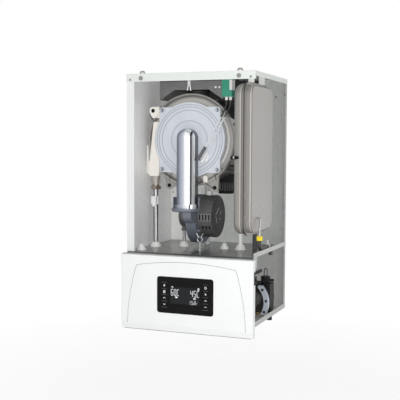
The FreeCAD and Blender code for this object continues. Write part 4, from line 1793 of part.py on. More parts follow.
def gas_valve():
    """Gas valve body with two solenoids at the front."""
    body = tablet("Y", (GAS_VALVE_LEFT, GAS_VALVE_RIGHT), (GAS_VALVE_BOTTOM, GAS_VALVE_TOP), BLOCK_EDGE,
                  GAS_VALVE_FRONT, GAS_VALVE_BACK)
    middle = (GAS_VALVE_BOTTOM + GAS_VALVE_TOP) / 2
    half = SOLENOID_RADIUS + SEAT_GAP
    front = GAS_VALVE_FRONT - SOLENOID_LENGTH
    coils = [rod("Y", ((GAS_VALVE_LEFT + GAS_VALVE_RIGHT) / 2, middle + a * half), SOLENOID_RADIUS, front,
                 GAS_VALVE_FRONT) for a in (-1, 1)]
    return joined([body] + coils)


def plate_exchanger():
    """Stacked-plate water heater with its ports."""
    across = (PLATES_LEFT, PLATES_RIGHT)
    rise = (PLATES_BOTTOM, PLATES_TOP)
    stack = tablet("Y", across, rise, PLATE_CORNER, PLATES_FRONT, PLATES_BACK)
    core = tablet("Y", (PLATES_LEFT + PLATE_GROOVE, PLATES_RIGHT - PLATE_GROOVE),
                  (PLATES_BOTTOM + PLATE_GROOVE, PLATES_TOP - PLATE_GROOVE), PLATE_CORNER - PLATE_GROOVE,
                  PLATES_FRONT, PLATES_BACK)
    gaps = []
    for step in range(1, PLATE_COUNT):
        y = PLATES_FRONT + step * PLATE_PITCH
        slab = block((PLATES_LEFT - GRIP, PLATES_RIGHT + GRIP),
                     (y - PLATE_GROOVE / 2, y + PLATE_GROOVE / 2), (PLATES_BOTTOM - GRIP, PLATES_TOP + GRIP))
        gaps.append(slab.cut(core))
    return stack.cut(gaps)


def water_pipes():
    """Two pipes from the plate heater down to the water connections."""
    solids = []
    for x, radius in stub_places()[2:4]:
        top = WATER_PORT_Z - 2 * WATER_BEND
        points = [(x, PLATES_FRONT, WATER_PORT_Z), (x, STUB_Y, WATER_PORT_Z), (x, STUB_Y, top)]
        solids.append(bent_tube(points, WATER_PIPE_RADIUS, PIPE_WALL, WATER_BEND))
    return solids


def primary_pipes():
    """Heating pipes behind the plate heater, to the flow block and to the pump."""
    flow_x = FLOW_BLOCK_RIGHT - PRIMARY_BEND
    left_port = PLATES_LEFT + PLATE_CORNER + PRIMARY_BEND
    right_port = PLATES_RIGHT - PLATE_CORNER
    left = [(flow_x, FLOW_BLOCK_BACK, PRIMARY_Z), (flow_x, PRIMARY_Y, PRIMARY_Z),
            (left_port, PRIMARY_Y, PRIMARY_Z), (left_port, PLATES_BACK, PRIMARY_Z)]
    right = [(right_port, PLATES_BACK, PRIMARY_Z), (right_port, PRIMARY_Y, PRIMARY_Z),
             (PUMP_X, PRIMARY_Y, PRIMARY_Z), (PUMP_X, VOLUTE_BACK, PRIMARY_Z)]
    return [bent_tube(points, PRIMARY_RADIUS, PIPE_WALL, PRIMARY_BEND) for points in (left, right)]


def condensate_trap():
    """White trap under the condensate hose, with an outlet through the floor tray."""
    centre = (DRUM_X, CONDENSATE_Y)
    cup = rod("Z", centre, TRAP_RADIUS, TRAP_BOTTOM, TRAP_TOP)
    cup = round_edges(cup, TRAP_CAP / 2, lambda p: p.z < TRAP_BOTTOM + GRIP / 2)
    cap = rod("Z", centre, TRAP_CAP_RADIUS, TRAP_TOP, TRAP_TOP + TRAP_CAP)
    outlet = stub(centre, TRAP_OUTLET_RADIUS, TRAP_BOTTOM)
    well = rod("Z", centre, TRAP_OUTLET_RADIUS - STUB_STEP - STUB_WALL, TRAP_BOTTOM - GRIP,
               TRAP_BOTTOM + TRAP_CAP)
    return joined([cup.cut(well), cap, outlet])


# Nodes of the part: small pieces of one kind share a node as separate solids

def wire_clips():
    """Spring wire clips of the front cover and the side hose."""
    return group([top_cover_clip(), shelf_cover_clip(), hose_clamp()])


def mounting_plates():
    """White plates: the cover on the wall plate, the strip on the side panel and the vessel hangers."""
    return group([access_plate(), wall_strip()] + vessel_hangers())


def fasteners():
    """Casing bolts and screws, and the studs and nuts of the burner door."""
    return group(casing_screws() + door_nuts())


def circuit_boards():
    """Display board and control board."""
    return group([display_board(), main_board()])


def panel_trim():
    """Rubber seal and latch of the control panel."""
    return group([fascia_seal(), panel_latch()])


def steel_pipes():
    """Flow, return, gas and vessel feed pipes above the shelf."""
    return group([flow_pipe(), return_pipe(), gas_pipe(), feed_tube()])


def copper_pipes():
    """Pipes of the plate heater below the shelf."""
    return group(water_pipes() + primary_pipes())


def rubber_hoses():
    """Return elbow, condensate hose, vessel hose and side hose."""
    return group([return_hose(), condensate_hose(), vessel_hose(), side_hose()])


def pipe_fittings():
    """Connections under the casing, flow union, hose ferrule and the vessel's air valve."""
    return group(connection_stubs() + [union_nut(), hose_ferrule(), charge_valve()])


def ignition_transformer():
    """Transformer with its lead sockets."""
    return group([transformer_case()] + transformer_terminals())


def pump_body():
    """Volute with the air vent on its tower."""
    return group([pump_volute(), air_vent()])


def diverter_valve():
    """Flow block with the motor of its diverter."""
    return group([flow_block(), diverter_motor()])


PIECES = [back_panel, left_side_panel, top_frame, bottom_frame, shelf_plate, corner_posts,
          mounting_plates, fasteners, wire_clips, shelf_grommets, control_fascia, panel_trim, display_bezel,
          display_screen, circuit_boards, control_box, hinge_pins, exchanger_shell, exchanger_ring,
          exchanger_coil, burner_door, door_insulation, burner_tube, flow_manifold, flow_sensor, steel_pipes,
          copper_pipes, rubber_hoses, pipe_fittings, mix_duct, fan_adapter, fan_scroll, fan_motor,
          fan_impeller, gas_mixer, ignition_electrode, ignition_leads, ignition_transformer, flue_hood,
          flue_socket, vessel_left_shell, vessel_diaphragm, vessel_right_shell, pump_body, pump_flange,
          pump_motor, pump_impeller, drain_knob, diverter_valve, gas_valve, plate_exchanger, condensate_trap]


def main():
    """Build every piece and write its solids."""
    os.makedirs("parts", exist_ok=True)
    for piece in PIECES:
        piece().exportStep(os.path.join("parts", piece.__name__ + ".step"))
    for index, place in enumerate(key_places()):
        key(place).exportStep(os.path.join("parts", "key_%d.step" % (index + 1)))


main()
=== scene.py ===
"""Looks of a wall-hung condensing boiler whose front cover and right side are off for service."""
import logging
import math
from dataclasses import dataclass
from enum import Enum
from typing import Dict, List, Optional, Sequence, Tuple, Union

import bmesh
import bpy
from mathutils import Matrix, Vector


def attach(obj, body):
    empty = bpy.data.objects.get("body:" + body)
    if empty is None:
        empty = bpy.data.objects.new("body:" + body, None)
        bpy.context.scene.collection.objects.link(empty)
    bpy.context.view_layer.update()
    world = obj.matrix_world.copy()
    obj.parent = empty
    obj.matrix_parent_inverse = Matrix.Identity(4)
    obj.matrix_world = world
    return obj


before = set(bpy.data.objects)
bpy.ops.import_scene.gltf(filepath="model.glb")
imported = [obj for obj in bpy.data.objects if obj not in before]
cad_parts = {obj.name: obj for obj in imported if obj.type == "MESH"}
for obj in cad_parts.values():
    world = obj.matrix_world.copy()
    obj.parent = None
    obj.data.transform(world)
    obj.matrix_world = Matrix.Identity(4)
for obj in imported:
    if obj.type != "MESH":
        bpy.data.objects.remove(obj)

LOG = logging.getLogger("boiler")
MM = 0.001
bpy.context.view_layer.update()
HERE = Matrix.Identity(4)

Colour = Tuple[float, float, float, float]
Triple = Tuple[float, float, float]
Pair = Tuple[float, float]
Line = Sequence[Pair]
Bands = Tuple[Tuple[float, Union[float, Colour]], ...]

DRUM_CENTRE: Pair = (-41.5, 536.5)
WHITE: Colour = (1.0, 1.0, 1.0, 1.0)
COAT_ROUGHNESS = 0.12
BRIGHTEST = 0.98


def tone(red: float, green: float, blue: float) -> Colour:
    """Linear colour of display steps from 0 to 255."""
    steps = (value / 255.0 for value in (red, green, blue))
    return (*(s / 12.92 if s <= 0.04045 else ((s + 0.055) / 1.055) ** 2.4 for s in steps), 1.0)


def shaded(colour: Colour, share: float) -> Colour:
    """Colour with its brightness scaled and held below white."""
    return (*(min(channel * share, BRIGHTEST) for channel in colour[:3]), 1.0)


def polar(centre: Pair, reach: float, degrees: float) -> Pair:
    """Point at a distance and an angle from a centre."""
    turn = math.radians(degrees)
    return centre[0] + reach * math.cos(turn), centre[1] + reach * math.sin(turn)


def circle(radius: float, count: int) -> List[Pair]:
    """Evenly spaced points of a circle round the origin."""
    return [polar((0.0, 0.0), radius, 360.0 * step / count) for step in range(count)]


def link(thing: bpy.types.Object) -> None:
    """Put an object into the scene."""
    bpy.context.scene.collection.objects.link(thing)


class Signal:
    """Socket that takes part in Python expressions."""

    def __init__(self, graph: "Graph", socket: Optional[bpy.types.NodeSocket]) -> None:
        """Keep the socket and the graph that owns it."""
        self.graph = graph
        self.socket = socket

    def __add__(self, other: "Term") -> "Signal":
        """Sum of two values."""
        return self.graph.math("ADD", self, other)

    def __sub__(self, other: "Term") -> "Signal":
        """Difference of two values."""
        return self.graph.math("SUBTRACT", self, other)

    def __rsub__(self, other: "Term") -> "Signal":
        """Difference with this value taken away."""
        return self.graph.math("SUBTRACT", other, self)

    def __mul__(self, other: "Term") -> "Signal":
        """Product of two values."""
        return self.graph.math("MULTIPLY", self, other)

    def __truediv__(self, other: "Term") -> "Signal":
        """Quotient of two values."""
        return self.graph.math("DIVIDE", self, other)

    def __rtruediv__(self, other: "Term") -> "Signal":
        """Quotient with this value below the line."""
        return self.graph.math("DIVIDE", other, self)

    def __pow__(self, other: "Term") -> "Signal":
        """Power of a value."""
        return self.graph.math("POWER", self, other)

    def __gt__(self, other: "Term") -> "Signal":
        """One where this value is the larger."""
        return self.graph.math("GREATER_THAN", self, other)

    def __lt__(self, other: "Term") -> "Signal":
        """One where this value is the smaller."""
        return self.graph.math("LESS_THAN", self, other)

    def __abs__(self) -> "Signal":
        """Size without the sign."""
        return self.graph.math("ABSOLUTE", self, 0.0)

    __radd__ = __add__
    __rmul__ = __mul__


Term = Union[Signal, float]
Paint = Union[Signal, Colour]
Sockets = Dict[Union[int, str], object]


class Graph:
    """Node tree that grows from Python expressions."""

    def __init__(self, tree: bpy.types.NodeTree) -> None:
        """Start from an empty tree.

        Args:
            tree: Tree to clear and to grow.
        """
        self.tree = tree
        self.tree.nodes.clear()
        self._place: Optional[Signal] = None
        self._axes: List[Signal] = []

    def node(self, kind: str, settings: Optional[Dict[str, object]] = None,
             sockets: Optional[Sockets] = None, output: Union[int, str] = 0) -> Signal:
        """Add one node.

        Args:
            kind: Type name of the node.
            settings: Node properties, set before anything else.
            sockets: Values or signals for the inputs, by name or number.
            output: Name or number of the socket to hand back.

        Returns:
            The chosen output as a signal.
        """
        made = self.tree.nodes.new(kind)
        for key, value in (settings or {}).items():
            setattr(made, key, value)
        for key, value in (sockets or {}).items():
            if isinstance(value, Signal):
                self.tree.links.new(value.socket, made.inputs[key])
            else:
                made.inputs[key].default_value = value
        return Signal(self, made.outputs[output] if len(made.outputs) else None)

    def siblings(self, signal: Signal) -> Dict[str, Signal]:
        """All outputs of the node that a signal comes from, by name."""
        return {socket.name: Signal(self, socket) for socket in signal.socket.node.outputs}

    def math(self, operation: str, first: Term, second: Term) -> Signal:
        """Result of a Math node."""
        return self.node("ShaderNodeMath", {"operation": operation}, {0: first, 1: second})

    def blend(self, share: Term, first: Paint, second: Paint, way: str = "MIX") -> Signal:
        """Mix of two colours, all of the second one where the share is 1."""
        settings = {"data_type": "RGBA", "blend_type": way}
        return self.node("ShaderNodeMix", settings, {0: share, 6: first, 7: second}, 2)

    def laid(self, mask: Signal, under: Term, over: Term) -> Signal:
        """One value inside a mask and another outside it."""
        return mask * over + (1.0 - mask) * under

    def banded(self, value: Signal, bands: Bands) -> Paint:
        """Colour that runs through stated stops.

        Args:
            value: Value in metres that picks the colour.
            bands: Place in millimetres and colour or grey share of each stop, in rising order.

        Returns:
            The colour at the value.
        """
        paints = [(paint,) * 3 + (1.0,) if isinstance(paint, float) else paint for _, paint in bands]
        colour: Paint = paints[0]
        for (start, _), (end, _), paint in zip(bands, bands[1:], paints[1:]):
            colour = self.blend(self.spread(value, 0.0, 1.0, start * MM, end * MM), colour, paint)
        return colour

    def reach(self, centre: Pair, axes: Tuple[int, int] = (0, 2)) -> Signal:
        """Distance in metres from a line, given by its place in millimetres on the axes across it."""
        east, north = (self.axis(number) - middle * MM for number, middle in zip(axes, centre))
        return (east * east + north * north) ** 0.5

    def place(self) -> Signal:
        """Object coordinates, which are metres in the shared frame.

        Returns:
            The place as a vector.
        """
        if self._place is None:
            self._place = self.node("ShaderNodeTexCoord", output="Object")
        return self._place

    def axis(self, number: int) -> Signal:
        """One object coordinate.

        Args:
            number: 0 for X to 2 for Z.

        Returns:
            The coordinate in metres.
        """
        if not self._axes:
            first = self.node("ShaderNodeSeparateXYZ", {}, {0: self.place()})
            self._axes = list(self.siblings(first).values())
        return self._axes[number]

    def noise(self, scale: float, detail: float = 2.0, stretch: Triple = (1.0, 1.0, 1.0)) -> Signal:
        """Soft random value near 0.5, with spots in a metre and a small stretch along a grain."""
        place = self.node("ShaderNodeMapping", {}, {"Vector": self.place(), "Scale": stretch})
        return self.node("ShaderNodeTexNoise", {}, {"Vector": place, "Scale": scale, "Detail": detail})

    def cloud(self, scale: float, detail: float, stretch: Triple = (1.0, 1.0, 1.0)) -> Signal:
        """Soft random value drawn out to the range from 0 to 1."""
        return self.spread(self.noise(scale, detail, stretch), 0.0, 1.0)

    def cells(self, scale: float, output: str = "Distance") -> Signal:
        """Cellular value: distance to the nearest seed, or a colour for each cell."""
        return self.node("ShaderNodeTexVoronoi", {}, {"Vector": self.place(), "Scale": scale}, output)

    def spread(self, value: Term, low: float, high: float, start: float = 0.3, end: float = 0.7) -> Signal:
        """Value that runs from low to high while another runs from start to end, held inside that range."""
        return self.node("ShaderNodeMapRange", {}, {"Value": value, 1: start, 2: end, 3: low, 4: high})

    def inside(self, low: Triple, high: Triple) -> Signal:
        """Mask of a box.

        Args:
            low: Lowest corner in millimetres.
            high: Highest corner in millimetres.

        Returns:
            One inside the box and zero outside.
        """
        masks = []
        for number, (least, most) in enumerate(zip(low, high)):
            middle, half = (least + most) / 2 * MM, (most - least) / 2 * MM
            masks.append(abs(self.axis(number) - middle) < half)
        return masks[0] * masks[1] * masks[2]


@dataclass
class Skin:
    """What a finish feeds to the surface shader."""

    colour: Paint
    roughness: Term
    metallic: Term
    height: Optional[Signal] = None


@dataclass(frozen=True)
class Finish:
    """Base of each finish: its colour, gloss, metal share and depth of relief in metres."""

    name: str
    colour: Colour
    roughness: float = 0.5
    metallic: float = 0.0
    coat: float = 0.0
    specular: float = 0.5
    glow: float = 0.0
    relief: float = 0.0

    def toned(self, graph: Graph, share: Term, low: float, high: float) -> Signal:
        """Own colour between two levels of brightness."""
        return graph.blend(share, shaded(self.colour, low), shaded(self.colour, high))

    def gloss(self, graph: Graph, share: Term, step: float) -> Signal:
        """Own roughness, from a step below to a step above it."""
        return graph.spread(share, self.roughness - step, self.roughness + step, 0.0, 1.0)

    def skin(self, graph: Graph) -> Skin:
        """Build the pattern of the finish.

        Args:
            graph: Tree to build in.

        Returns:
            Signals for the surface shader.
        """
        cloud = graph.cloud(14.0, 4.0)
        return Skin(self.toned(graph, cloud, 0.95, 1.04), self.gloss(graph, cloud, self.roughness * 0.08),
                    self.metallic)

    def material(self) -> bpy.types.Material:
        """Make the material, or find it if it is made already.

        Returns:
            The Blender material.
        """
        known = bpy.data.materials.get(self.name)
        if known is not None:
            return known
        made = bpy.data.materials.new(self.name)
        made.use_nodes = True
        made.diffuse_color = self.colour
        graph = Graph(made.node_tree)
        skin = self.skin(graph)
        sockets: Sockets = {
            "Base Color": skin.colour, "Roughness": skin.roughness, "Metallic": skin.metallic,
            "Coat Weight": self.coat, "Coat Roughness": COAT_ROUGHNESS, "Specular IOR Level": self.specular}
        if skin.height is not None:
            bump = {"Strength": 1.0, "Distance": self.relief, "Height": skin.height}
            sockets["Normal"] = graph.node("ShaderNodeBump", {}, bump)
        if self.glow > 0.0:
            sockets["Emission Color"] = skin.colour
            sockets["Emission Strength"] = self.glow
        surface = graph.node("ShaderNodeBsdfPrincipled", {}, sockets)
        graph.node("ShaderNodeOutputMaterial", {}, {"Surface": surface})
        return made


@dataclass(frozen=True)
class PowderCoat(Finish):
    """Baked paint with a fine orange peel and a trace of dust."""

    relief: float = 0.00006
    peel: float = 620.0
    dust: float = 0.03

    def skin(self, graph: Graph) -> Skin:
        """Build peel, cloudiness and dust specks.

        Args:
            graph: Tree to build in.

        Returns:
            Signals for the surface shader.
        """
        broad = graph.cloud(5.0, 3.0)
        specks = graph.cells(210.0) < 0.07
        clean = self.toned(graph, broad, 1.0 - self.dust, 1.0)
        colour = graph.blend(specks * (self.dust * 4.0), clean, shaded(self.colour, 0.6))
        return Skin(colour, self.gloss(graph, broad, 0.05), self.metallic, graph.noise(self.peel, 1.0))


@dataclass(frozen=True)
class PaintedLightCoat(PowderCoat):
    """Baked paint with painted highlights and shade in bands across X."""

    bands: Bands = ()

    def skin(self, graph: Graph) -> Skin:
        """Build the coat and multiply in the painted highlights and shade of the bands across X.

        Args:
            graph: Tree to build in.

        Returns:
            Signals for the surface shader.
        """
        skin = super().skin(graph)
        # painted highlights and shade, in bands across X
        skin.colour = graph.blend(1.0, skin.colour, graph.banded(graph.axis(0), self.bands), "MULTIPLY")
        return skin


@dataclass(frozen=True)
class GalvanisedSheet(Finish):
    """Zinc-coated sheet with spangle crystals and rolling streaks, and painted shade across X where bands
    are given.
    """

    relief: float = 0.00002
    spangle: float = 95.0
    bands: Bands = ()

    def skin(self, graph: Graph) -> Skin:
        """Build the crystals, the streaks of the rolling mill and the painted shade of the bands across X.

        Args:
            graph: Tree to build in.

        Returns:
            Signals for the surface shader.
        """
        crystal = graph.node("ShaderNodeSeparateColor", {}, {0: graph.cells(self.spangle, "Color")})
        streak = graph.spread(graph.noise(90.0, 3.0, (1.0, 1.0, 0.05)), 0.0, 0.35)
        share = crystal * 0.35 + streak + graph.cloud(7.0, 4.0) * 0.3
        colour = self.toned(graph, share, 0.86, 1.1)
        # painted shade: the bands darken the sheet across X, towards the right of the back panel
        if self.bands:
            colour = graph.blend(1.0, colour, graph.banded(graph.axis(0), self.bands), "MULTIPLY")
        return Skin(colour, self.gloss(graph, share, -0.08), self.metallic, crystal)


class Grain(Enum):
    """Direction of the lines in a brushed or drawn metal."""

    ALONG_X = (0.03, 1.0, 1.0)
    ALONG_Y = (1.0, 0.03, 1.0)
    ALONG_Z = (1.0, 1.0, 0.03)
    ROUND_Y = (0.0, 0.0, 0.0)


@dataclass(frozen=True)
class BrushedMetal(Finish):
    """Metal with fine lines, straight or round the drum's axis."""

    relief: float = 0.00002
    grain: Grain = Grain.ALONG_Z
    lines: float = 900.0
    contrast: float = 0.16
    bands: Bands = ()

    def skin(self, graph: Graph) -> Skin:
        """Build the lines along the grain, slow tarnish and the painted highlight and shade rings of the
        bands.

        Args:
            graph: Tree to build in.

        Returns:
            Signals for the surface shader.
        """
        if self.grain is Grain.ROUND_Y:
            lane = graph.node("ShaderNodeCombineXYZ", {}, {0: graph.reach(DRUM_CENTRE), 1: graph.axis(1)})
            line = graph.node("ShaderNodeTexNoise", {}, {"Vector": lane, "Scale": self.lines, "Detail": 2.0})
        else:
            line = graph.noise(self.lines, 2.0, self.grain.value)
        share = graph.spread(line, 0.0, 0.7) + graph.cloud(18.0, 4.0) * 0.3
        colour = self.toned(graph, share, 1.0 - self.contrast, 1.0 + self.contrast / 2)
        # painted highlights and shade, in rings round the drum's axis
        if self.bands:
            colour = graph.blend(1.0, colour, graph.banded(graph.reach(DRUM_CENTRE), self.bands), "MULTIPLY")
        return Skin(colour, self.gloss(graph, share, -0.07), self.metallic, line)


@dataclass(frozen=True)
class PolishedPlate(Finish):
    """Polished plating with a painted reflection in bands across the part, and painted shade towards its
    back.
    """

    relief: float = 0.00001
    middle: float = 0.0
    rear: float = 0.0
    rear_shade: Colour = tone(90, 90, 90)
    bands: Bands = ()

    def skin(self, graph: Graph) -> Skin:
        """Build the painted reflection in bands across X, the painted shade at the back and a trace of
        wiping marks.

        Args:
            graph: Tree to build in.

        Returns:
            Signals for the surface shader.
        """
        # painted reflection: bands of tint across X
        tint = graph.banded(graph.axis(0) - self.middle * MM, self.bands)
        # painted shade towards the back
        behind = graph.spread(graph.axis(1), 0.0, 1.0, (self.rear - 1.0) * MM, (self.rear + 1.0) * MM)
        wipe = graph.noise(260.0, 3.0, (1.0, 1.0, 0.05))
        roughness = graph.spread(wipe, self.roughness - 0.04, self.roughness + 0.06)
        return Skin(graph.blend(behind, tint, self.rear_shade), roughness, self.metallic, wipe)


@dataclass(frozen=True)
class CastMetal(Finish):
    """Die-cast metal with a fine sandy skin."""

    relief: float = 0.00009
    grit: float = 760.0

    def skin(self, graph: Graph) -> Skin:
        """Build the grit and the paler flow marks of the casting.

        Args:
            graph: Tree to build in.

        Returns:
            Signals for the surface shader.
        """
        grit = graph.noise(self.grit, 3.0)
        share = graph.spread(grit, 0.0, 0.5) + graph.cloud(22.0, 4.0, (1.0, 1.0, 0.5)) * 0.5
        colour = self.toned(graph, share, 0.93, 1.05)
        return Skin(colour, self.gloss(graph, share, -0.06), self.metallic, grit)


@dataclass(frozen=True)
class GroovedCast(CastMetal):
    """Die casting with grooves, turned round the drum's axis, darkened with painted shade."""

    grooves: Tuple[float, ...] = ()

    def skin(self, graph: Graph) -> Skin:
        """Build the casting and paint shade into each groove.

        Args:
            graph: Tree to build in.

        Returns:
            Signals for the surface shader.
        """
        skin = super().skin(graph)
        radius = graph.reach(DRUM_CENTRE)
        # painted shade in each groove
        for groove in self.grooves:
            edge = graph.spread(abs(radius - groove * MM), 1.0, 0.0, 0.0007, 0.0018)
            skin.colour = graph.blend(edge, skin.colour, shaded(self.colour, 0.68))
        return skin


@dataclass(frozen=True)
class MouldedPlastic(Finish):
    """Moulded plastic with a spark-eroded grain."""

    relief: float = 0.00005
    grain: float = 1300.0
    scuffs: float = 0.12

    def skin(self, graph: Graph) -> Skin:
        """Build the grain, slow flow shading and scuffs.

        Args:
            graph: Tree to build in.

        Returns:
            Signals for the surface shader.
        """
        grain = graph.noise(self.grain, 2.0)
        scuff = graph.noise(60.0, 5.0, (1.0, 1.0, 0.2)) > 0.69
        even = self.toned(graph, graph.cloud(11.0, 3.0), 1.0 - self.scuffs / 3, 1.03)
        colour = graph.blend(scuff * self.scuffs, even, tone(190, 190, 188))
        roughness = graph.spread(grain, self.roughness - 0.05, self.roughness + 0.05)
        return Skin(colour, roughness, self.metallic, grain)


@dataclass(frozen=True)
class Rubber(Finish):
    """Moulded rubber with a chalky bloom."""

    relief: float = 0.00006

    def skin(self, graph: Graph) -> Skin:
        """Build the bloom and the fine pores.

        Args:
            graph: Tree to build in.

        Returns:
            Signals for the surface shader.
        """
        bloom = graph.cloud(30.0, 5.0)
        colour = graph.blend(bloom * 0.22, self.colour, tone(150, 150, 148))
        return Skin(colour, self.gloss(graph, bloom, 0.08), self.metallic, graph.noise(1100.0, 2.0))


@dataclass(frozen=True)
class CircuitBoard(Finish):
    """Lacquered board with copper traces and solder dots."""

    relief: float = 0.00005

    def skin(self, graph: Graph) -> Skin:
        """Build the traces as brick joints, and the dots as small cells.

        Args:
            graph: Tree to build in.

        Returns:
            Signals for the surface shader.
        """
        flat = graph.node("ShaderNodeCombineXYZ", {}, {0: graph.axis(0), 1: graph.axis(2)})
        brick = {"Vector": flat, "Scale": 1.0, "Mortar Size": 0.0005, "Mortar Smooth": 0.1,
                 "Brick Width": 0.011, "Row Height": 0.0042}
        trace = graph.node("ShaderNodeTexBrick", {"offset": 0.37, "squash": 1.6}, brick, "Fac")
        dots = graph.cells(260.0) < 0.22
        lacquer = graph.blend(trace * 0.7, self.colour, shaded(self.colour, 2.1))
        roughness = graph.spread(trace, self.roughness, self.roughness - 0.1, 0.0, 1.0)
        return Skin(graph.blend(dots, lacquer, tone(190, 190, 185)), roughness, dots * 0.8, trace)


@dataclass(frozen=True)
class ScreenGlass(Finish):
    """Dark display glass with a faint raster and a darker border, in millimetres."""

    centre: Pair = (0.0, 84.0)
    half: Pair = (45.0, 24.0)
    raster: float = 0.6

    def skin(self, graph: Graph) -> Skin:
        """Build the raster lines inside the border.

        Args:
            graph: Tree to build in.

        Returns:
            Signals for the surface shader.
        """
        across = abs(graph.axis(0) - self.centre[0] * MM) < self.half[0] * MM
        upright = abs(graph.axis(2) - self.centre[1] * MM) < self.half[1] * MM
        wave = graph.math("SINE", graph.axis(2) * (2.0 * math.pi / (self.raster * MM)), 0.0)
        lit = self.toned(graph, graph.spread(wave, 0.0, 1.0, -1.0, 1.0), 0.92, 1.06)
        smear = graph.spread(graph.noise(40.0, 4.0), self.roughness - 0.04, self.roughness + 0.08)
        return Skin(graph.blend(across * upright, shaded(self.colour, 0.45), lit), smear, self.metallic)


@dataclass(frozen=True)
class FibrePad(Finish):
    """Pressed ceramic fibre."""

    relief: float = 0.0003

    def skin(self, graph: Graph) -> Skin:
        """Build the matted threads.

        Args:
            graph: Tree to build in.

        Returns:
            Signals for the surface shader.
        """
        thread = graph.noise(800.0, 4.0, (1.0, 0.3, 0.25))
        colour = self.toned(graph, graph.spread(thread, 0.0, 1.0), 0.8, 1.05)
        return Skin(colour, self.roughness, self.metallic, thread)


@dataclass(frozen=True)
class Zone:
    """A box in which another finish shows, in millimetres."""

    low: Triple
    high: Triple
    finish: Finish


@dataclass(frozen=True)
class ZonedFinish(Finish):
    """A finish that gives way to others inside stated boxes."""

    base: Optional[Finish] = None
    zones: Tuple[Zone, ...] = ()

    @classmethod
    def over(cls, name: str, base: Finish, *zones: Zone, flat: Optional[Colour] = None) -> "ZonedFinish":
        """Base finish with zones laid over it, and a flat colour for where patterns don't show."""
        return cls(name, flat or base.colour, coat=base.coat, specular=base.specular, relief=base.relief,
                   base=base, zones=zones)

    def skin(self, graph: Graph) -> Skin:
        """Build the base finish and lay each zone's finish over it.

        Args:
            graph: Tree to build in.

        Returns:
            Signals for the surface shader.
        """
        skin = self.base.skin(graph)
        for zone in self.zones:
            mask = graph.inside(zone.low, zone.high)
            over = zone.finish.skin(graph)
            skin.colour = graph.blend(mask, skin.colour, over.colour)
            skin.roughness = graph.laid(mask, skin.roughness, over.roughness)
            skin.metallic = graph.laid(mask, skin.metallic, over.metallic)
        return skin


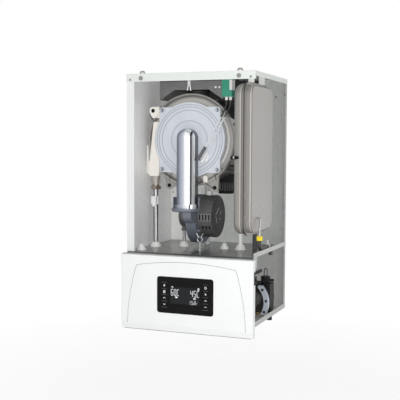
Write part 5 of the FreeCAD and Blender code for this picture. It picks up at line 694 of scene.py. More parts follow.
class Palette:
    """The finishes of this boiler, by the surfaces that carry them."""

    casing_white = PowderCoat("casing white coat", tone(231, 236, 232), 0.38, dust=0.02)
    flange_white = PowderCoat("flange white coat", tone(240, 241, 240), 0.42, dust=0.02)
    panel_zinc = GalvanisedSheet("inner panel zinc", tone(250, 250, 250), 0.5, 0.05)
    # painted shade: the back panel darkens towards the right, where the vessel and the drum shade it
    back_zinc = GalvanisedSheet(
        "back panel zinc", tone(236, 239, 236), 0.45, 0.15,
        bands=((-200.0, 1.0), (20.0, 0.86), (130.0, 0.6), (165.0, 0.54), (200.0, 0.44)))
    plate_white = PowderCoat("plate white coat", tone(246, 246, 243), 0.42)
    # painted reflection towards the shelf's ends and painted shade in its middle
    shelf_grey = PaintedLightCoat(
        "shelf grey coat", tone(104, 106, 104), 0.28, coat=0.3, dust=0.06,
        bands=((-200.0, 1.0), (-110.0, 0.85), (0.0, 0.36), (90.0, 0.4), (170.0, 0.7)))
    rim_grey = PowderCoat("rim pale coat", tone(190, 192, 189), 0.4)
    post_grey = PowderCoat("post pale coat", tone(188, 194, 196), 0.4)
    hood_grey = GalvanisedSheet("hood zinc", tone(118, 117, 117), 0.42, 0.3)
    # painted shadow: black laid where there is only shade behind and under the hood
    painted_shadow_black = PowderCoat("painted shadow black", tone(30, 30, 31), 0.6)
    bright_zinc = BrushedMetal("bright zinc plate", tone(150, 150, 146), 0.32, 0.8)
    clip_zinc = BrushedMetal("clip bright wire", tone(206, 207, 206), 0.25, 0.8)
    strip_grey = BrushedMetal("strip satin grey", tone(176, 178, 176), 0.35, 0.3, grain=Grain.ALONG_X)
    socket_dark = BrushedMetal("socket dark steel", tone(64, 64, 66), 0.4, 0.7)
    fascia_white = MouldedPlastic("fascia white moulding", tone(248, 249, 249), 0.34, relief=0.00002,
                                  scuffs=0.02)
    sensor_white = MouldedPlastic("sensor white moulding", tone(240, 240, 238), 0.42)
    rubber_white = Rubber("grommet pale rubber", tone(236, 236, 234), 0.5)
    manifold_cream = MouldedPlastic("manifold cream moulding", tone(244, 239, 231), 0.45)
    bezel_black = MouldedPlastic("bezel black moulding", tone(26, 26, 27), 0.6, relief=0.00001,
                                 specular=0.05, scuffs=0.01)
    key_black = MouldedPlastic("key black moulding", tone(27, 27, 28), 0.6, relief=0.00001,
                               specular=0.05, scuffs=0.01)
    trim_black = MouldedPlastic("trim black moulding", tone(19, 19, 20), 0.6, specular=0.15)
    fan_grey = MouldedPlastic("fan grey moulding", tone(90, 90, 90), 0.55, relief=0.00008)
    fan_end = MouldedPlastic("fan end moulding", tone(62, 62, 63), 0.55)
    fan_frame = MouldedPlastic("fan frame moulding", tone(138, 138, 138), 0.5, relief=0.00008)
    fan_mark = MouldedPlastic("fan pale marking", tone(196, 197, 197), 0.5)
    fan_dark = MouldedPlastic("fan dark moulding", tone(30, 30, 31), 0.6, specular=0.2)
    scroll_blue = CastMetal("fan scroll casting", tone(112, 117, 128), 0.5, 0.2)
    adapter_blue = CastMetal("fan adapter casting", tone(120, 125, 136), 0.45, 0.2)
    screen = ScreenGlass("display glass", tone(42, 43, 44), 0.4, specular=0.06)
    board = CircuitBoard("circuit board lacquer", tone(30, 92, 58), 0.35)
    # painted highlight and shade rings on the exchanger ring's face
    ring_steel = BrushedMetal(
        "exchanger warm steel", tone(192, 189, 184), 0.34, 0.35, grain=Grain.ROUND_Y,
        bands=((112.0, 0.8), (124.5, 0.9), (126.5, 0.66), (130.0, 0.5), (131.6, 0.22),
               (134.2, 0.3), (136.0, 0.7), (139.0, 0.84), (141.5, 0.44), (146.0, 0.62)))
    # painted shadow in the gap by the door and a painted highlight on the ring's right side
    ring_side_shade_and_highlight = BrushedMetal(
        "exchanger side steel with painted shade and highlight", tone(212, 209, 205), 0.34, 0.3, grain=Grain.ROUND_Y,
        bands=((105.0, 0.1), (111.4, 0.1), (112.8, 0.72), (116.6, 0.54), (118.6, 1.0),
               (122.4, 1.0), (124.2, 0.5), (133.0, 0.54), (136.0, 0.3), (146.0, 0.5)))
    drum_steel = BrushedMetal("drum rolled steel", tone(150, 145, 138), 0.4, 0.75, grain=Grain.ALONG_Y)
    # painted shade darkens the door's grooves
    door_alloy = GroovedCast("door pale casting", tone(214, 219, 227), 0.5, 0.1,
                             grooves=(58.0, 89.5, 99.5, 106.5))
    nut_pale = CastMetal("door nut zinc", tone(190, 194, 200), 0.4, 0.4)
    # painted reflection in bands across the duct, with a dark seam, and painted shade at its back
    duct_chrome = PolishedPlate(
        "duct polished plate", tone(236, 238, 243), 0.2, 0.5, middle=DRUM_CENTRE[0], rear=-254.0,
        rear_shade=tone(88, 90, 98),
        bands=((-29.0, tone(104, 110, 124)), (-20.0, tone(124, 132, 147)), (-14.5, tone(146, 154, 168)),
               (-10.0, tone(162, 169, 182)), (-5.0, tone(176, 182, 193)), (0.0, tone(192, 197, 206)),
               (3.5, tone(222, 225, 231)), (6.5, tone(244, 246, 249)), (18.6, tone(246, 248, 250)),
               (19.6, tone(70, 72, 78)), (23.2, tone(60, 62, 68)), (24.0, tone(212, 215, 220)),
               (25.4, tone(248, 249, 251))))
    pipe_steel = BrushedMetal("drawn steel tube", tone(168, 168, 168), 0.26, 0.9)
    nut_steel = BrushedMetal("union brown steel", tone(150, 138, 126), 0.35, 0.6)
    nozzle_beige = CastMetal("nozzle beige metal", tone(186, 180, 172), 0.4, 0.4)
    copper = BrushedMetal("drawn copper tube", tone(204, 138, 104), 0.3, 0.95, grain=Grain.ALONG_Y)
    brass = BrushedMetal("machined brass", tone(150, 128, 82), 0.3, 0.8)
    hose_black = Rubber("hose black rubber", tone(34, 34, 35), 0.5)
    hose_pale = Rubber("hose pale rubber", tone(196, 198, 198), 0.5)
    boot_grey = Rubber("boot dark rubber", tone(84, 85, 90), 0.5)
    ceramic = MouldedPlastic("electrode white ceramic", tone(238, 239, 240), 0.3)
    lead_white = Rubber("lead white sleeve", tone(234, 236, 240), 0.42)
    transformer_teal = MouldedPlastic("transformer teal moulding", tone(54, 152, 126), 0.42)
    # painted highlights along the vessel's steps, painted shade on its front strips and bends, and a dark
    # joint at the rim
    vessel_taupe = PaintedLightCoat(
        "vessel taupe coat", tone(196, 191, 186), 0.3, coat=0.2,
        bands=((122.0, 0.52), (132.0, 0.57), (144.0, 0.57), (145.2, 1.0), (147.0, 1.0), (148.4, 0.32),
               (151.6, 0.36), (153.2, 0.54), (155.4, 0.5), (156.8, 0.1), (160.0, 0.1), (161.2, 0.5),
               (163.0, 0.54), (173.6, 0.54), (174.4, 1.0), (177.0, 1.0), (177.6, 0.3), (179.3, 0.32),
               (179.7, 0.66)))
    diaphragm = Rubber("diaphragm black rubber", tone(36, 36, 36), 0.6)
    fibre = FibrePad("insulation fibre", tone(222, 216, 204), 0.9)
    pump_black = CastMetal("pump black paint", tone(24, 24, 25), 0.5, specular=0.12)
    pump_brown = CastMetal("pump motor paint", tone(48, 45, 42), 0.45, 0.1, specular=0.15)
    vent_black = MouldedPlastic("vent black moulding", tone(34, 34, 36), 0.3)
    pump_alloy = CastMetal("pump flange casting", tone(196, 201, 212), 0.42, 0.3)
    brass_block = CastMetal("water block brass", tone(132, 114, 78), 0.42, 0.7)
    valve_grey = CastMetal("gas valve casting", tone(176, 178, 180), 0.45, 0.6)
    ferrule_yellow = MouldedPlastic("ferrule yellow moulding", tone(250, 222, 36), 0.4)
    clamp_white = PowderCoat("clamp white coat", tone(236, 236, 234), 0.35)
    pipe_white = PowderCoat("pipe white coat", tone(240, 240, 238), 0.35)
    # painted shade for the arched groove's line; the same grey draws the thin seal along the fascia's lower
    # edge
    line_grey = PowderCoat("groove grey line", tone(150, 152, 154), 0.5)
    # glow stands for the lit display on the screen, and is painted glow on the printed key legends
    legend_white = Finish("legend white ink", tone(226, 228, 230), 0.5, glow=0.35)
    legend_dim = Finish("legend dim ink", tone(112, 113, 115), 0.5)


def seat(name: str, mesh: bpy.types.Mesh, finish: Finish, body: str = "casing") -> None:
    """Add a finished mesh to the object.

    Args:
        name: Name of the piece.
        mesh: Mesh in the shared frame.
        finish: Finish of the piece.
        body: CAD body that carries it.
    """
    piece = bpy.data.objects.new(name, mesh)
    mesh.materials.clear()
    mesh.materials.append(finish.material())
    link(piece)
    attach(piece, body)
    LOG.info("seated %s on %s", name, body)


class Shape:
    """Mesh maker in millimetres; several solids may go into one mesh."""

    def __init__(self) -> None:
        """Start empty."""
        self.bm = bmesh.new()

    def _hull(self, rings: Sequence[Sequence[Triple]], place: Matrix, loop: bool = False,
              capped: bool = True) -> "Shape":
        """Join rings of points into a skin.

        Args:
            rings: Points of each ring; a ring of one point is a pole.
            place: Where the skin goes.
            loop: True to join the last ring to the first.
            capped: True to close the first and the last ring with a face.

        Returns:
            This shape.
        """
        made = [[self.bm.verts.new(place @ Vector(point)) for point in ring] for ring in rings]
        for lower, upper in zip(made, made[1:] + (made[:1] if loop else [])):
            total = max(len(lower), len(upper))
            for count in range(total):
                after = (count + 1) % total
                corners = [lower[count % len(lower)], lower[after % len(lower)],
                           upper[after % len(upper)], upper[count % len(upper)]]
                self.bm.faces.new(list(dict.fromkeys(corners)))
        if capped:
            self.bm.faces.new(made[0][::-1])
            self.bm.faces.new(made[-1])
        return self

    def turned(self, profile: Line, sides: int, place: Matrix = HERE) -> "Shape":
        """Turn a profile round the local Z axis.

        Args:
            profile: Radius and height of each point, from the lower pole to the upper one.
            sides: Facets round the axis.
            place: Where the piece goes.

        Returns:
            This shape.
        """
        rings = []
        for radius, height in profile:
            ring = circle(radius, sides) if radius > 0.0 else [(0.0, 0.0)]
            rings.append([(x, y, height) for x, y in ring])
        return self._hull(rings, place, capped=False)

    def slab(self, corners: Line, depth: float, place: Matrix = HERE) -> "Shape":
        """Raise a flat counter-clockwise outline into a plate along the local Z axis."""
        return self._hull([[(x, y, height) for x, y in corners] for height in (0.0, depth)], place)

    def rod(self, start: Triple, end: Triple, radius: float, sides: int) -> "Shape":
        """Lay a straight round rod.

        Args:
            start: Centre of one end.
            end: Centre of the other end.
            radius: Radius of the section.
            sides: Facets round the rod.

        Returns:
            This shape.
        """
        first, last = Vector(start), Vector(end)
        ahead = (last - first).normalized()
        side = Vector((0.0, 0.0, 1.0)) if abs(ahead.z) <= 0.95 else ahead.orthogonal()
        side = (side - ahead * side.dot(ahead)).normalized()
        up = ahead.cross(side)
        section = [side * x + up * y for x, y in circle(radius, sides)]
        rings = [[first.lerp(last, part) + arm for arm in section] for part in (0.0, 0.5, 1.0)]
        return self._hull(rings, HERE)

    def ribbon(self, line: Line, width: float, depth: float, place: Matrix, closed: bool = False) -> "Shape":
        """Draw a flat stroke of even width along a line.

        Args:
            line: Points of the stroke.
            width: Width of the stroke.
            depth: Thickness.
            place: Where the stroke's plane goes.
            closed: True to join the last point to the first.

        Returns:
            This shape.
        """
        points = [Vector(point) for point in line]
        total = len(points)
        rings = []
        for count, point in enumerate(points):
            before = points[count - 1] if count or closed else point
            after = points[(count + 1) % total] if count < total - 1 or closed else point
            first = (point - before if point != before else after - point).normalized()
            second = (after - point).normalized() if after != point else first
            normal = Vector((-(first + second).y, (first + second).x)).normalized()
            arm = normal * (width / 2 / max(0.4, normal.dot(Vector((-first.y, first.x)))))
            left, right = point + arm, point - arm
            rings.append([(*left, 0.0), (*left, depth), (*right, depth), (*right, 0.0)])
        return self._hull(rings, place, closed, not closed)

    def rounded(self, width: float) -> "Shape":
        """Round the sharp edges of all that is in the shape so far.

        Args:
            width: Width of the rounding.

        Returns:
            This shape.
        """
        self.bm.normal_update()
        sharp = [edge for edge in self.bm.edges if edge.is_manifold and edge.calc_face_angle() > 0.6]
        bmesh.ops.bevel(self.bm, geom=sharp, offset=width, segments=2, profile=0.6, affect="EDGES")
        return self

    def mesh(self, name: str, smooth: float = 35.0) -> bpy.types.Mesh:
        """Finish the mesh in metres.

        Args:
            name: Name of the mesh.
            smooth: Angle in degrees below which edges shade smoothly.

        Returns:
            The mesh, in the shared frame.
        """
        bmesh.ops.recalc_face_normals(self.bm, faces=self.bm.faces[:])
        bmesh.ops.scale(self.bm, vec=(MM, MM, MM), verts=self.bm.verts[:])
        made = bpy.data.meshes.new(name)
        self.bm.to_mesh(made)
        self.bm.free()
        made.shade_smooth()
        made.set_sharp_from_angle(angle=math.radians(smooth))
        return made

    def seat(self, name: str, finish: Finish, slot: str, body: str = "casing") -> None:
        """Finish the mesh and add it to the object."""
        seat(name, self.mesh(name), finish, body)


class Facing(Enum):
    """Way that a flat drawing or a turned part faces, as the rows of a turning matrix."""

    FRONT = ((1, 0, 0), (0, 0, -1), (0, 1, 0))
    RIGHT = ((0, 0, 1), (1, 0, 0), (0, 1, 0))
    LEFT = ((0, 0, -1), (-1, 0, 0), (0, 1, 0))
    UP = ((1, 0, 0), (0, 1, 0), (0, 0, 1))

    def at(self, place: Triple) -> Matrix:
        """Matrix that takes the local Z axis to this way, from an origin in millimetres."""
        return Matrix.Translation(place) @ Matrix(self.value).to_4x4()


def fasten(name: str, profile: Line, sides: int, places: Sequence[Triple], finish: Finish, slot: str,
           facing: Facing = Facing.FRONT) -> None:
    """Set the same turned piece at several places of the casing.

    Args:
        name: Name of the piece.
        profile: Radius and height of each point of one fastener.
        sides: Facets round each axis.
        places: Where the fasteners go.
        finish: Finish of the piece.
        slot: Not used.
        facing: Way that the heads face.
    """
    shape = Shape()
    for place in places:
        shape.turned(profile, sides, facing.at(place))
    shape.seat(name, finish, slot)


@dataclass(frozen=True)
class Pen:
    """Stroke and finish of a line drawing."""

    width: float
    depth: float
    finish: Finish
    slot: str

    def draw(self, name: str, lines: Sequence[Line], places: Sequence[Matrix], body: str = "casing",
             closed: bool = False) -> None:
        """Draw the same lines at several places, as one piece.

        Args:
            name: Name of the piece.
            lines: Lines of the drawing.
            places: Where the drawing goes.
            body: CAD body that carries it.
            closed: True to join each line's last point to its first.
        """
        shape = Shape()
        for place in places:
            for line in lines:
                shape.ribbon(line, self.width, self.depth, place, closed)
        shape.seat(name, self.finish, self.slot, body)


class Layout(Enum):
    """Rule by which a pattern tree sets its copies."""

    RING = "ring"
    GRID = "grid"


class PatternTree:
    """Geometry Nodes tree that repeats one small shape by a rule."""

    INPUTS = {"Shape": "Object", "Finish": "Material", "Count": "Int", "Rows": "Int", "Seed": "Int",
              "Reach": "Float", "Width": "Float", "Height": "Float", "Uneven": "Float"}
    LENGTHS = ("Reach", "Width", "Height")
    DEFAULTS = {"Rows": 1, "Seed": 1, "Reach": 0.0, "Width": 0.0, "Height": 0.0, "Uneven": 0.0}

    def __init__(self, layout: Layout) -> None:
        """Build the tree for one layout.

        Args:
            layout: Rule that sets the copies.
        """
        self.tree = bpy.data.node_groups.new(f"{layout.value} of parts", "GeometryNodeTree")
        self.keys: Dict[str, str] = {}
        for name, kind in self.INPUTS.items():
            socket = self.tree.interface.new_socket(name, in_out="INPUT", socket_type="NodeSocket" + kind)
            self.keys[name] = socket.identifier
        self.tree.interface.new_socket("Geometry", in_out="OUTPUT", socket_type="NodeSocketGeometry")
        self._grow(layout)

    def _grow(self, layout: Layout) -> None:
        """Lay the points, set the copies, then realise and paint them.

        Args:
            layout: Rule that sets the copies.
        """
        graph = Graph(self.tree)
        given = graph.siblings(graph.node("NodeGroupInput"))
        copies: Sockets = {}
        if layout is Layout.RING:
            ring = {"Vertices": given["Count"], "Radius": given["Reach"]}
            copies["Points"] = graph.node("GeometryNodeMeshCircle", {}, ring)
            turn = graph.node("GeometryNodeInputIndex") / given["Count"] * (2.0 * math.pi)
            copies["Rotation"] = graph.node("ShaderNodeCombineXYZ", {}, {2: turn})
        else:
            grid = {"Size X": given["Width"], "Size Y": given["Height"],
                    "Vertices X": given["Count"], "Vertices Y": given["Rows"]}
            copies["Points"] = graph.node("GeometryNodeMeshGrid", {}, grid)
        chance = {2: 1.0 - given["Uneven"], 3: 1.0 + given["Uneven"], "Seed": given["Seed"]}
        copies["Scale"] = graph.node("FunctionNodeRandomValue", {"data_type": "FLOAT"}, chance, 1)
        source = {"Object": given["Shape"], "As Instance": True}
        copies["Instance"] = graph.node("GeometryNodeObjectInfo", {}, source, "Geometry")
        whole = graph.node("GeometryNodeInstanceOnPoints", {}, copies)
        plain = graph.node("GeometryNodeRealizeInstances", {}, {0: whole})
        painted = graph.node("GeometryNodeSetMaterial", {}, {0: plain, "Material": given["Finish"]})
        graph.node("NodeGroupOutput", {}, {0: painted})

    def repeat(self, name: str, part: Shape, finish: Finish, slot: str, place: Matrix,
               **sizes: float) -> None:
        """Run the tree and seat its result on the casing as a plain mesh.

        Args:
            name: Name of the piece.
            part: Shape of one copy, round its own origin.
            finish: Finish of the copies.
            slot: Not used.
            place: Where the pattern goes, in millimetres.
            sizes: Values of the tree's named inputs, lengths in millimetres.
        """
        source = bpy.data.objects.new(name + " part", part.mesh(name + " part"))
        host = bpy.data.objects.new(name + " host", bpy.data.meshes.new(name + " host"))
        for thing in (source, host):
            link(thing)
        modifier = host.modifiers.new("pattern", "NODES")
        modifier.node_group = self.tree
        modifier[self.keys["Shape"]] = source
        modifier[self.keys["Finish"]] = finish.material()
        for key, value in {**self.DEFAULTS, **sizes}.items():
            modifier[self.keys[key]] = value * MM if key in self.LENGTHS else value
        graph = bpy.context.evaluated_depsgraph_get()
        made = bpy.data.meshes.new_from_object(host.evaluated_get(graph))
        made.name = name
        host.modifiers.remove(modifier)
        for thing in (host, source):
            bpy.data.objects.remove(thing)
        metres = place.copy()
        metres.translation = metres.translation * MM
        made.transform(metres)
        seat(name, made, finish)


RING_TREE = PatternTree(Layout.RING)
GRID_TREE = PatternTree(Layout.GRID)


class Assembly:
    """Part of the boiler that dresses its CAD nodes and builds its own small pieces."""

    def finishes(self) -> Dict[str, Finish]:
        """Finish of each CAD node, by the node's name."""
        raise NotImplementedError

    def build(self) -> None:
        """Make the small pieces."""
        raise NotImplementedError

    def dress(self) -> None:
        """Give each CAD node its finish."""
        for node, finish in self.finishes().items():
            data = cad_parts[node].data
            data.materials.clear()
            data.materials.append(finish.material())
            LOG.info("dressed %s in %s", node, finish.name)


@dataclass
class Casing(Assembly):
    """Sheet-metal frame, shelf and their fixings."""

    back_face: float = -1.2
    weld_x: float = 172.0
    weld_height: float = 470.0
    weld_rows: int = 9
    weld_pitch: float = 60.0
    plug: float = 4.6
    plug_x: float = 184.0
    plug_heights: Triple = (258.0, 536.5, 620.0)
    rivets: Tuple[Pair, ...] = ((163.3, 674.9), (192.8, 680.6), (194.4, 363.3), (-190.5, 363.6),
                                (-176.0, 363.4))
    strip_step: float = 2.0
    pressing: Triple = (-198.85, -215.0, 700.0)

    def finishes(self) -> Dict[str, Finish]:
        """Finish of each node of the casing.

        Returns:
            The finishes, by node name.
        """
        flange = Zone((-201.0, -340.0, 0.0), (-170.0, -325.0, 730.0), Palette.flange_white)
        # painted shadow on the back panel under the hood
        back_panel_shadow = Zone((-110.0, -8.0, 596.0), (112.0, -0.6, 735.0), Palette.painted_shadow_black)
        rim = Zone((198.0, -400.0, 190.0), (202.0, 10.0, 216.0), Palette.rim_grey)
        nuts = Zone((-160.0, -246.0, 420.0), (80.0, -200.0, 650.0), Palette.nut_pale)
        clamp = Zone((170.0, -180.0, 200.0), (200.0, -150.0, 245.0), Palette.clamp_white)
        return {
            "top_frame": Palette.casing_white,
            "left_side_panel": ZonedFinish.over("inner zinc with white flange", Palette.panel_zinc, flange,
                                                flat=tone(196, 196, 195)),
            "back_panel": ZonedFinish.over("back zinc with a dark lining", Palette.back_zinc, back_panel_shadow),
            "bottom_frame": Palette.rim_grey,
            "corner_posts": Palette.post_grey,
            "shelf_plate": ZonedFinish.over("shelf coat with pale rim", Palette.shelf_grey, rim,
                                            flat=tone(86, 88, 86)),
            "mounting_plates": Palette.plate_white,
            "fasteners": ZonedFinish.over("zinc screws and pale door nuts", Palette.bright_zinc, nuts),
            "shelf_grommets": Palette.rubber_white,
            "wire_clips": ZonedFinish.over("clip wire with white clamp", Palette.clip_zinc, clamp,
                                           flat=tone(170, 170, 166))}

    def spot_welds(self) -> None:
        """Set a row of spot-weld dimples on the back panel."""
        dimple = [(0.0, -0.05), (2.4, -0.05), (2.9, 0.12), (2.2, 0.22), (1.2, 0.08), (0.0, 0.04)]
        place = Facing.FRONT.at((self.weld_x, self.back_face, self.weld_height))
        weld = Shape().turned(dimple, 12)
        GRID_TREE.repeat("back_flange_welds", weld, Palette.back_zinc, "galvanised", place, Count=1,
                         Rows=self.weld_rows, Height=(self.weld_rows - 1) * self.weld_pitch,
                         Seed=3, Uneven=0.15)

    def build(self) -> None:
        """Make welds, hole plugs, dark rivets and the hooked pressings of the left wall."""
        self.spot_welds()
        flush = [(0.0, -0.6), (self.plug, -0.6), (self.plug, 0.4), (self.plug * 0.7, 1.0), (0.0, 0.8)]
        holes = [(self.plug_x, self.back_face, height) for height in self.plug_heights]
        fasten("flange_plugs", flush, 20, holes, Palette.back_zinc, "galvanised")
        domed = [(0.0, -0.4), (2.4, -0.4), (2.4, 0.3), (1.6, 1.0), (0.0, 1.3)]
        heads = [(x, self.back_face - (self.strip_step if x < 0 else 0.0), z) for x, z in self.rivets]
        fasten("panel_rivets", domed, 14, heads, Palette.socket_dark, "zinc")
        hooks = [[(-26.0, -13.0), (-17.0, -13.0), (-17.0, 6.0), (-26.0, 11.0)],
                 [(6.0, 11.0), (18.0, 4.0), (18.0, -13.0), (9.0, -13.0)]]
        pen = Pen(1.6, 0.35, Palette.bright_zinc, "galvanised")
        pen.draw("wall_pressings", hooks, [Facing.RIGHT.at(self.pressing)])


@dataclass
class ControlPanel(Assembly):
    """Swing-down fascia with its display and keys."""

    face: float = -360.0
    bezel_print: float = -360.7
    screen_print: float = -360.45
    key_print: float = -361.2
    print_depth: float = 0.12
    middle: float = 84.0
    key_across: float = 64.5
    key_pitch: float = 18.4
    key_line: float = 8.5
    crease: float = -7.0
    groove: float = 0.85
    chin_slope: float = 4.6
    foot_height: float = -25.0
    foot_ends: Pair = (-196.0, 200.0)
    foot: float = 185.0
    waist: float = 176.5
    shoulder: float = 155.0
    shoulder_height: float = 167.0
    crown: float = 181.0

    def finishes(self) -> Dict[str, Finish]:
        """Finish of each node of the panel.

        Returns:
            The finishes, by node name.
        """
        strip = Zone((-210.0, -360.0, 196.0), (210.0, -335.0, 202.0), Palette.strip_grey)
        keys = {f"key_{number}": Palette.key_black for number in range(1, 9)}
        return {
            "control_fascia": Palette.fascia_white,
            "panel_trim": ZonedFinish.over("black latch and grey strip", Palette.trim_black, strip),
            "display_bezel": Palette.bezel_black,
            "display_screen": Palette.screen,
            "circuit_boards": Palette.board,
            "control_box": Palette.trim_black,
            "hinge_pins": Palette.bright_zinc,
            **keys}

    @staticmethod
    def _arc(start: Pair, through: Pair, end: Pair, steps: int) -> List[Pair]:
        """Points of the circle arc through three points.

        Args:
            start: First point.
            through: A point on the way.
            end: Last point.
            steps: Number of runs.

        Returns:
            The points, both ends included.
        """
        (ax, ay), (bx, by), (cx, cy) = start, through, end
        scale = 2.0 * (ax * (by - cy) + bx * (cy - ay) + cx * (ay - by))
        first, second, third = (x * x + y * y for x, y in (start, through, end))
        ux = (first * (by - cy) + second * (cy - ay) + third * (ay - by)) / scale
        uy = (first * (cx - bx) + second * (ax - cx) + third * (bx - ax)) / scale
        radius = math.hypot(ax - ux, ay - uy)
        begin = math.atan2(ay - uy, ax - ux)
        sweep = (math.atan2(cy - uy, cx - ux) - begin + math.pi) % (2.0 * math.pi) - math.pi
        turns = [begin + sweep * count / steps for count in range(steps + 1)]
        return [(ux + radius * math.cos(turn), uy + radius * math.sin(turn)) for turn in turns]

    def fascia_lines(self) -> None:
        """Lay the grey strip of painted shade in the arched groove and the thin seal along the lower edge.
        """
        half = (self.crease + self.shoulder_height) / 2
        corner = (-self.shoulder, self.shoulder_height)
        left = self._arc((-self.foot, self.crease), (-self.waist, half), corner, 24)
        top = self._arc(corner, (0.0, self.crown), (self.shoulder, self.shoulder_height), 40)
        right = [(-x, z) for x, z in reversed(left)]
        # painted shade: a grey strip laid in the groove
        arch = Pen(1.2, 0.35, Palette.line_grey, "white_plastic")
        arch.draw("arch_line", [left + top[1:] + right[1:]],
                  [Facing.FRONT.at((0.0, self.face + self.groove, 0.0))], "control_panel")
        seal = Pen(1.4, 0.5, Palette.line_grey, "white_plastic")
        edge = [(x, 0.0) for x in (self.foot_ends[0], 0.0, self.foot_ends[1])]
        seal.draw("foot_line", [edge],
                  [Facing.FRONT.at((0.0, self.face + self.chin_slope, self.foot_height))], "control_panel")

    def key_places(self) -> List[Pair]:
        """Centre of each key, left column first, from the top down."""
        first = self.middle + 1.5 * self.key_pitch
        return [(side * self.key_across, first - self.key_pitch * row)
                for side in (-1, 1) for row in range(4)]

    def key_legends(self) -> None:
        """Print a generic sign on each key and the dim lines between the keys."""
        up = [(-3.4, -1.2), (0.0, 1.6), (3.4, -1.2)]
        down = [(x, -z) for x, z in up]
        tap = [[(-2.8, -1.0), (0.8, 3.2), (0.8, -3.4)], [(-2.8, -1.0), (2.4, -1.0)]]
        page = [[(-2.4, 3.2), (2.4, 3.2), (2.4, -3.2), (-2.4, -3.2), (-2.4, 3.2)], [(-1.2, 1.0), (1.2, 1.0)],
                [(-1.2, -1.0), (1.2, -1.0)]]
        flow = [(-2.0, 3.0), (1.6, 0.6), (-1.2, -0.4), (1.8, -3.0)]
        ring = [circle(3.0, 20)]
        bar = [(-3.2, 0.0), (3.2, 0.0)]
        # the white ink glows: painted glow on the printed key legends
        ink = Pen(1.15, self.print_depth, Palette.legend_white, "white_plastic")
        signs = (tap, page, [up], [down], ring, [flow], [up], [bar])
        for number, ((x, z), lines) in enumerate(zip(self.key_places(), signs), 1):
            place = Facing.FRONT.at((x, self.key_print, z))
            ink.draw(f"key_{number}_legend", lines, [place], f"key_{number}", lines is ring)
        half = self.key_pitch / 2
        places = []
        for x, z in self.key_places():
            heights = [z - half, z + half] if z > self.middle + self.key_pitch else [z - half]
            places += [Facing.FRONT.at((x, self.bezel_print, height)) for height in heights]
        dim = Pen(0.6, self.print_depth, Palette.legend_dim, "black_gloss")
        dim.draw("key_lines", [[(-self.key_line, 0.0), (self.key_line, 0.0)]], places, "control_panel")

    @staticmethod
    def _strokes(words: str) -> List[List[Pair]]:
        """Strokes of a row of seven-stroke signs, in cells one wide and two high.

        Args:
            words: Signs to draw; a stop takes a part of a cell.

        Returns:
            The strokes, with the row's first cell at the origin.
        """
        bars = {"a": ((0, 2), (1, 2)), "b": ((1, 2), (1, 1)), "c": ((1, 1), (1, 0)), "d": ((0, 0), (1, 0)),
                "e": ((0, 1), (0, 0)), "f": ((0, 2), (0, 1)), "g": ((0, 1), (1, 1))}
        signs = {"0": "abcdef", "1": "bc", "4": "fgbc", "5": "afgcd", "6": "afgedc", "C": "afed",
                 "b": "fgedc", "A": "abcefg", "r": "eg"}
        pitch, stop = 1.7, 0.4
        strokes: List[List[Pair]] = []
        start = 0.0
        for sign in words:
            if sign == ".":
                strokes.append([(start - 0.15, 0.0), (start + 0.1, 0.0)])
                start += stop
                continue
            strokes += [[(start + x, float(z)) for x, z in bars[bar]] for bar in signs[sign]]
            start += pitch
        return strokes

    def readings(self) -> None:
        """Show two temperatures and a pressure on the screen."""
        rows = [("60C", -43.0, 83.8, 5.6, 8.7, 1.2), ("45C", 18.4, 83.2, 5.8, 8.7, 1.2),
                ("1.5bAr", 13.8, 60.6, 3.0, 5.2, 0.55)]
        for number, (words, x, z, wide, high, width) in enumerate(rows, 1):
            lines = [[(east * wide, north * high) for east, north in line] for line in self._strokes(words)]
            pen = Pen(width, self.print_depth, Palette.legend_white, "white_plastic")
            place = Facing.FRONT.at((x, self.screen_print, z))
            pen.draw(f"reading_{number}", lines, [place], "control_panel")

    def screen_signs(self) -> None:
        """Draw the small signs beside the readings."""
        tap = [(-3.0, 1.0), (-1.0, 3.0), (1.6, 1.6), (1.6, -2.6)]
        roof = [(-4.2, -1.6), (0.0, 2.4), (4.2, -1.6)]
        door = [(-1.6, -2.6), (-1.6, -0.4), (1.6, -0.4), (1.6, -2.6)]
        line = [(-3.0, -3.2), (3.0, -3.2)]
        blot = [(-4.0, 1.2), (-2.6, -2.0), (2.6, -2.0), (4.0, 1.2), (2.4, 2.4), (-2.4, 2.4)]
        bold, fine = 1.4, 1.1
        west, east, south = (Facing.FRONT.at((x, self.screen_print, z))
                             for x, z in ((-39.5, 107.0), (42.5, 107.0), (30.4, 78.0)))
        shape = Shape()
        for sign, width, place, closed in ((tap, bold, west, False), (circle(2.0, 16), bold, east, True),
                                           (line, fine, east, False), (roof, bold, south, False),
                                           (door, fine, south, False)):
            shape.ribbon(sign, width, self.print_depth, place, closed)
        shape.slab(blot, self.print_depth, Facing.FRONT.at((-26.5, self.screen_print, 78.5)))
        shape.seat("screen_signs", Palette.legend_white, "white_plastic", "control_panel")

    def build(self) -> None:
        """Make the lines, legends and signs of the panel."""
        self.fascia_lines()
        self.key_legends()
        self.readings()
        self.screen_signs()


